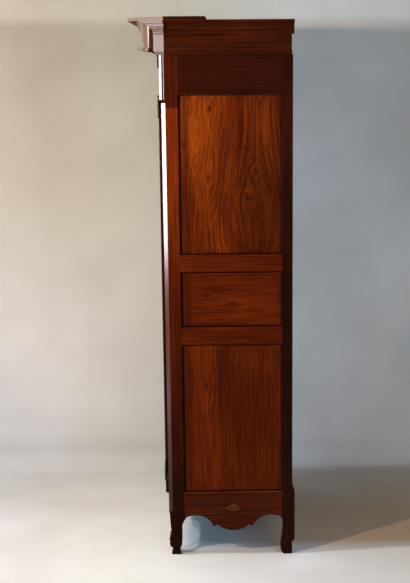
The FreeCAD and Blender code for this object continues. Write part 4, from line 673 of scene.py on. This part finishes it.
def drop():
    """A drop that lies along Z with its narrow end at the origin."""
    bpy.ops.object.select_all(action="DESELECT")
    bpy.ops.mesh.primitive_uv_sphere_add(segments=14, ring_count=9, radius=0.5, location=(0, 0, 0))
    piece = bpy.context.object
    bpy.ops.object.mode_set(mode="EDIT")
    bpy.ops.mesh.select_all(action="SELECT")
    bpy.ops.transform.resize(value=(DROP_THICKNESS, DROP_WIDTH, DROP_LENGTH))
    bpy.ops.object.mode_set(mode="OBJECT")
    bpy.ops.object.modifier_add(type="SIMPLE_DEFORM")
    taper = piece.modifiers[-1]
    taper.deform_method = "TAPER"
    taper.deform_axis = "Z"
    taper.factor = DROP_TAPER
    bpy.ops.object.modifier_apply(modifier=taper.name)
    bpy.ops.object.mode_set(mode="EDIT")
    bpy.ops.mesh.select_all(action="SELECT")
    bpy.ops.transform.translate(value=(0, 0, DROP_LENGTH / 2))
    bpy.ops.object.mode_set(mode="OBJECT")
    return piece


print("a drop is", DROP_LENGTH / MM, "mm long and", DROP_WIDTH / MM, "mm wide")

# %% Copies of the drop on the apron
BOSS_PROUD = 2.4 * MM  # how far the boss stands out of the apron's face


def carved_piece(pattern, side, y, z, turn_about, length, width, proud):
    """A copy of the drop on the apron's face, turned about its narrow end. length, width and
    proud are shares of the drop's own, and a piece that is less proud lies deeper."""
    copy = pattern.copy()
    copy.data = pattern.data.copy()
    bpy.context.scene.collection.objects.link(copy)
    size = Matrix.Diagonal((proud, width, length, 1.0))
    turned = Matrix.Rotation(math.radians(turn_about), 4, "X") @ size
    raised = (proud - 1.0) * DROP_THICKNESS / 2 + BOSS_PROUD * proud ** 2
    place_at = Matrix.Translation((side_face + raised, y, z))
    copy.data.transform(Matrix.Diagonal((side, 1, 1, 1)) @ place_at @ turned)
    return copy


def joined(pieces, name, finish):
    """The pieces as one object, with its faces outwards, on the carcass."""
    bpy.ops.object.select_all(action="DESELECT")
    for piece in pieces:
        piece.select_set(True)
    bpy.context.view_layer.objects.active = pieces[0]
    bpy.ops.object.join()
    carving = bpy.context.object
    bpy.ops.object.mode_set(mode="EDIT")
    bpy.ops.mesh.select_all(action="SELECT")
    bpy.ops.mesh.normals_make_consistent(inside=False)
    bpy.ops.object.mode_set(mode="OBJECT")
    bpy.ops.object.shade_smooth()
    carving.name = name
    carving.data.materials.clear()
    carving.data.materials.append(finishes[finish])
    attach(carving, "carcass")
    print(name, len(carving.data.polygons), "faces")


# %% The shell and its leaves, on both aprons
FAN, RIB_STEP = 75, 25  # degrees to the outermost rib, and from one rib to the next
MIDDLE_RIB = 0.82  # the middle rib's length, as a share of the outermost's
KNOB_DROP = 4 * MM
KNOB_LENGTH, KNOB_STOUT = 0.3, 1.1  # shares of the drop's own length, and width and depth
LEAVES = 4
FIRST_LEAF, LEAF_STEP, LEAF_LOWER = 35 * MM, 13 * MM, 2 * MM
LEAF_TILTS = (104, 62)  # degrees from upright, one leaf after another
LEAF_LENGTH, LEAF_SHORTENS, LEAF_WIDTH, LEAF_PROUD = 0.60, 0.06, 0.75, 0.5

for side, word in ((1, "right"), (-1, "left")):
    pattern = drop()
    hinge_level = SHELL_LEVEL - KNOB_BELOW
    carved = [carved_piece(pattern, side, frame_middle, hinge_level, angle,
                           MIDDLE_RIB + (1 - MIDDLE_RIB) * abs(angle) / FAN, 1.0, 1.0)
              for angle in range(-FAN, FAN + 1, RIB_STEP)]
    carved.append(carved_piece(pattern, side, frame_middle, hinge_level - KNOB_DROP, 0,
                               KNOB_LENGTH, KNOB_STOUT, KNOB_STOUT))
    joined(carved, "shell_carving_" + word, "carving")
    leaves = []
    for way in (-1, 1):
        for number in range(LEAVES):
            start = frame_middle + way * (FIRST_LEAF + LEAF_STEP * number)
            leaves.append(carved_piece(pattern, side, start, SHELL_LEVEL - LEAF_LOWER,
                                       -way * LEAF_TILTS[number % 2],
                                       LEAF_LENGTH - LEAF_SHORTENS * number, LEAF_WIDTH,
                                       LEAF_PROUD))
    joined(leaves, "leaf_carving_" + word, "apron")
    bpy.data.objects.remove(pattern)

# %% [markdown]
# ## The room
# A pale painted sheet hangs close behind the cabinet and turns forward along the floor, as
# in a painter's studio. Two planes would meet in a hard line, so this is one plane with its
# back edge pulled up, and the corner is bevelled round. Edges close to the round keep the
# shading of the flat parts flat.

# %% Floor and wall
WALL_X = -0.62
SWEEP = 0.10
SWEEP_STEPS = 8
ROOM_FRONT, ROOM_HALF_WIDTH, WALL_HEIGHT = 7.0, 7.0, 6.0
FLOOR_SPLIT = 3.0


def pick_edge(piece, x, z):
    """Goes to edit mode with only the edges selected that run along Y at this X and Z."""
    bpy.ops.object.mode_set(mode="EDIT")
    bpy.ops.mesh.select_mode(type="EDGE")
    bpy.ops.mesh.select_all(action="DESELECT")
    bpy.ops.object.mode_set(mode="OBJECT")
    for edge in piece.data.edges:
        ends = [piece.data.vertices[number].co for number in edge.vertices]
        edge.select = all(abs(end.x - x) < MM and abs(end.z - z) < MM for end in ends)
    bpy.ops.object.mode_set(mode="EDIT")


bpy.ops.object.select_all(action="DESELECT")
bpy.ops.mesh.primitive_plane_add(size=1.0, location=(0, 0, 0))
room = bpy.context.object
room.name = "room_floor_and_wall"
bpy.ops.object.mode_set(mode="EDIT")
bpy.ops.mesh.select_all(action="SELECT")
bpy.ops.transform.resize(value=(ROOM_FRONT - WALL_X, 2 * ROOM_HALF_WIDTH, 1))
bpy.ops.transform.translate(value=((ROOM_FRONT + WALL_X) / 2, 0, 0))
pick_edge(room, WALL_X, 0)
bpy.ops.mesh.extrude_region_move(TRANSFORM_OT_translate={"value": (0, 0, WALL_HEIGHT)})
pick_edge(room, WALL_X, 0)
bpy.ops.mesh.bevel(offset=SWEEP, segments=SWEEP_STEPS)
for cut_at, across_it in (((FLOOR_SPLIT, 0, 0), (1, 0, 0)), ((WALL_X + 2 * SWEEP, 0, 0), (1, 0, 0)),
                          ((WALL_X, 0, 2 * SWEEP), (0, 0, 1))):
    bpy.ops.mesh.select_all(action="SELECT")
    bpy.ops.mesh.bisect(plane_co=cut_at, plane_no=across_it)
bpy.ops.object.mode_set(mode="OBJECT")
bpy.ops.object.shade_smooth()
print("sheet:", len(room.data.polygons), "faces, wall at x", WALL_X)

# %% [markdown]
# ### The sheet's paint
# Sized canvas under matt paint, which gives the eye soft, even tones with no highlight. Light
# and shade are painted into it: painted warm lamp light at the top of the near side, and a
# cooler, lighter far side that is painted cool light where the cabinet's shadow falls. On the
# floor, painted shadow makes it bluish under the cabinet and brown beyond it. From behind, the
# sheet is clear, so that the cabinet's back can be looked at.

# %% Wall paint, from the near side to the far side, with painted warm and cool light
WHITE = "#ffffff"
paper, tree = new_material("painted backdrop sheet")
place = add(tree, "TexCoord")["Object"]
room_x, room_y, room_z = add(tree, "SeparateXYZ", (place,))

across = add(tree, "MapRange", {"Value": room_y, "From Min": -1.0, "From Max": 1.2})[0]
# The warm top of the near side is painted lamp light, and the cool, light far side is painted cool
# light where the cabinet's shadow falls on the sheet.
upper = add(tree, "ValToRGB", (across,), stops=(
    (0.10, "#d6d0c2"), (0.25, "#e2e2d6"), (0.45, "#e4e6dc"), (0.62, "#f0f8fc"), (0.90, "#dcdfdf")))[0]
lower = add(tree, "ValToRGB", (across,), stops=(
    (0.10, "#ebebeb"), (0.30, "#f4f6f2"), (0.60, "#f4f6f8"), (0.90, "#ece8e0")))[0]
climb = add(tree, "MapRange", {"Value": room_z, "From Min": 0.1, "From Max": 1.4})[0]
paint = add(tree, "Mix", {FACTOR: climb, UNDER: lower, OVER: upper}, data_type="RGBA")[MIXED]
print("paint nodes for the wall:", len(tree.nodes))

# %% Painted shade in the corner, painted light and shade by height, and thin paint
MOTTLE_PER_METRE = 2.2  # one darker cloud in about 450 mm
# Painted shade near the wall: the floor darkens towards it, and the wall takes the darkest tint.
corner = add(tree, "MapRange", {"Value": room_x, "From Min": WALL_X + SWEEP, "From Max": 0.4})[0]
corner_painted_shade = add(tree, "ValToRGB", (corner,), stops=((0.0, "#e6e4e0"), (1.0, "#fdfdfd")))[0]
level = add(tree, "MapRange", {"Value": room_z, "From Max": 2.4})[0]
# By height: painted shade in the crease at the floor and just under the cabinet's top height, and a
# painted band of light along the top of the sheet.
height_painted_light = add(tree, "ValToRGB", (level,), stops=(
    (0.0, "#dedddb"), (0.006, "#dedddb"), (0.07, "#fafafa"), (0.33, WHITE), (0.78, "#ecebe8"),
    (0.875, "#e6e3de"), (0.895, WHITE)))[0]
mottle = add(tree, "TexNoise", {"Vector": place, "Scale": MOTTLE_PER_METRE, "Detail": 4.0})[0]
mottle_tint = add(tree, "ValToRGB", (mottle,), stops=((0.3, "#eceae6"), (0.7, WHITE)))[0]
print("paint nodes with tints:", len(tree.nodes))

# %% The floor, with painted shadow: bluish under the cabinet and brown beyond it
# Painted shadow of the cabinet on the floor, bluish under it and brown beyond it, with the lit patch
# behind the front foot left white.
near_edge = add(tree, "MapRange", {"Value": room_x, "From Min": 0.40, "From Max": 0.30})[0]
far_edge = add(tree, "MapRange", {"Value": room_x, "From Min": WALL_X, "From Max": 0.0,
                                  "To Min": 0.3, "To Max": 1.0})[0]
flat = add(tree, "Math", (room_z, 0.01), operation="LESS_THAN")[0]
floor_shade_mask = add(tree, "Math", (near_edge, far_edge), operation="MULTIPLY")[0]
floor_shade_mask = add(tree, "Math", (floor_shade_mask, flat), operation="MULTIPLY")[0]
floor_shade_colours = add(tree, "ValToRGB", (across,), stops=(
    (0.385, WHITE), (0.41, "#b4cee4"), (0.46, "#acc8de"), (0.51, "#c8ccd0"), (0.57, "#d8c4ac"),
    (0.62, "#dcc0a0")))[0]
floor_painted_shade = add(tree, "Mix", {FACTOR: floor_shade_mask, UNDER: linear(WHITE), OVER: floor_shade_colours},
                 data_type="RGBA")[MIXED]
for tint in (corner_painted_shade, height_painted_light, floor_painted_shade, mottle_tint):
    paint = add(tree, "Mix", {FACTOR: 1.0, UNDER: paint, OVER: tint}, data_type="RGBA",
                blend_type="MULTIPLY")[MIXED]
print("paint nodes with the floor:", len(tree.nodes))

# %% The sheet's surface
surface = add(tree, "BsdfPrincipled", {"Base Color": paint, "Roughness": 0.85,
                                       "Specular IOR Level": 0.2})[0]
from_behind = add(tree, "NewGeometry")["Backfacing"]
clear = add(tree, "BsdfTransparent")[0]
surface = add(tree, "MixShader", (from_behind, surface, clear))[0]
add(tree, "OutputMaterial", {"Surface": surface})
room.data.materials.append(paper)
print("paint nodes in all:", len(tree.nodes))

# %% [markdown]
# ## The light
# A warm lamp stands to the near side of the front, just above the cabinet's top, and makes
# the reds of the side glow. White daylight falls steeply from the front, and a low window
# there shows as a streak in the canted corner. Each shadow cast on the sheet belongs to one of
# these, and a single bright sky would wash them out; more shade is painted into the sheet and
# the wood. The rest is soft and cool.

# %% Lamps
LAMP_AT = Vector((1.65, -1.60, 2.13))


def lamp(name, kind, place_at, aim_at, power, colour, **settings):
    """A light at a place, turned to shine at another."""
    data = bpy.data.lights.new(name, kind)
    data.energy = power
    data.color = linear(colour)[:3]
    for key, value in settings.items():
        setattr(data, key, value)
    light = bpy.data.objects.new(name, data)
    bpy.context.scene.collection.objects.link(light)
    light.location = place_at
    light.rotation_euler = (Vector(aim_at) - Vector(place_at)).to_track_quat("-Z", "Y").to_euler()
    return light


lamp("warm_lamp", "AREA", LAMP_AT, (0.2, 0.0, 1.2), 44, "#ffe8cf", shape="DISK", size=0.08)
lamp("daylight", "SPOT", (0.85, -3.3, 4.6), (0.8, 0.0, 0.0), 540, "#fffaf4",
     spot_size=math.radians(44), spot_blend=1.0, shadow_soft_size=0.12)
lamp("window", "AREA", (0.27, -3.4, 1.50), (0.40, -0.2, 1.5), 78, "#f6f7ff",
     shape="RECTANGLE", size=0.8, size_y=1.6)
low_sky = lamp("low_sky", "AREA", (0.1, -2.6, 0.40), (0.15, 0.0, 0.05), 16, "#9cc8ff",
               shape="RECTANGLE", size=1.2, size_y=0.3)
low_sky.visible_glossy = False
lamp("room_fill", "AREA", (3.6, 2.2, 3.0), (0.2, 0.2, 0.8), 36, "#dde8ff",
     shape="RECTANGLE", size=2.0, size_y=2.0)
lamp("wall_fill", "AREA", (1.7, 2.9, 0.9), (-0.6, 0.8, 1.2), 24, "#d8e6ff",
     shape="RECTANGLE", size=1.5, size_y=1.5)
print("lamps:", len(bpy.data.lights))

# %% The air of the room
world = bpy.data.worlds.new("room_air")
world.use_nodes = True
bpy.context.scene.world = world
air = world.node_tree.nodes["Background"]
air.inputs["Color"].default_value = linear("#dfe6f0")
air.inputs["Strength"].default_value = 0.42
bpy.context.scene.view_settings.view_transform = "Standard"
print("air at strength", round(air.inputs["Strength"].default_value, 2))

# %% [markdown]
# A card stands in the warm lamp's way and keeps the sheet beyond the cabinet's far top corner
# in shadow. It is an upright plane, cut off along a slope by a bisection, and only its
# shadow is seen.

# %% The shade card
CARD_X = -0.30
CARD_LOW = 2.05
SHADE_STARTS, SHADE_ENDS = (0.381, 2.132), (2.4, 2.96)  # Y and Z of its sloping edge on the sheet


def on_the_card(y_on_sheet, z_on_sheet):
    """Where the warm lamp's ray to a point of the sheet goes through the card's plane."""
    point = Vector((WALL_X, y_on_sheet, z_on_sheet))
    return LAMP_AT.lerp(point, (LAMP_AT.x - CARD_X) / (LAMP_AT.x - WALL_X))


slope_low = on_the_card(*SHADE_STARTS)
slope_high = on_the_card(*SHADE_ENDS)
slope = slope_high - slope_low
off_the_slope = Vector((0, -slope.z, slope.y)).normalized()
bpy.ops.object.select_all(action="DESELECT")
bpy.ops.mesh.primitive_plane_add(size=1.0, location=(0, 0, 0))
card = bpy.context.object
card.name = "shade_card"
bpy.ops.object.mode_set(mode="EDIT")
bpy.ops.mesh.select_all(action="SELECT")
# The face has to look at the lamp, because the sheet's paint is clear from behind. With no
# window this operator turns the other way, so the angle is negative.
bpy.ops.transform.rotate(value=math.radians(-90), orient_axis="Y", center_override=(0, 0, 0))
bpy.ops.transform.resize(value=(1, slope.y, slope_high.z - CARD_LOW))
bpy.ops.transform.translate(value=(CARD_X, (slope_low.y + slope_high.y) / 2,
                                   (CARD_LOW + slope_high.z) / 2))
bpy.ops.mesh.bisect(plane_co=slope_low, plane_no=off_the_slope, clear_outer=True)
bpy.ops.object.mode_set(mode="OBJECT")
card.data.materials.append(paper)
card.visible_camera = False
card.visible_glossy = False
print("card from", [round(c, 3) for c in slope_low], "to", [round(c, 3) for c in slope_high])
print("card looks along", [round(c, 3) for c in card.data.polygons[0].normal])
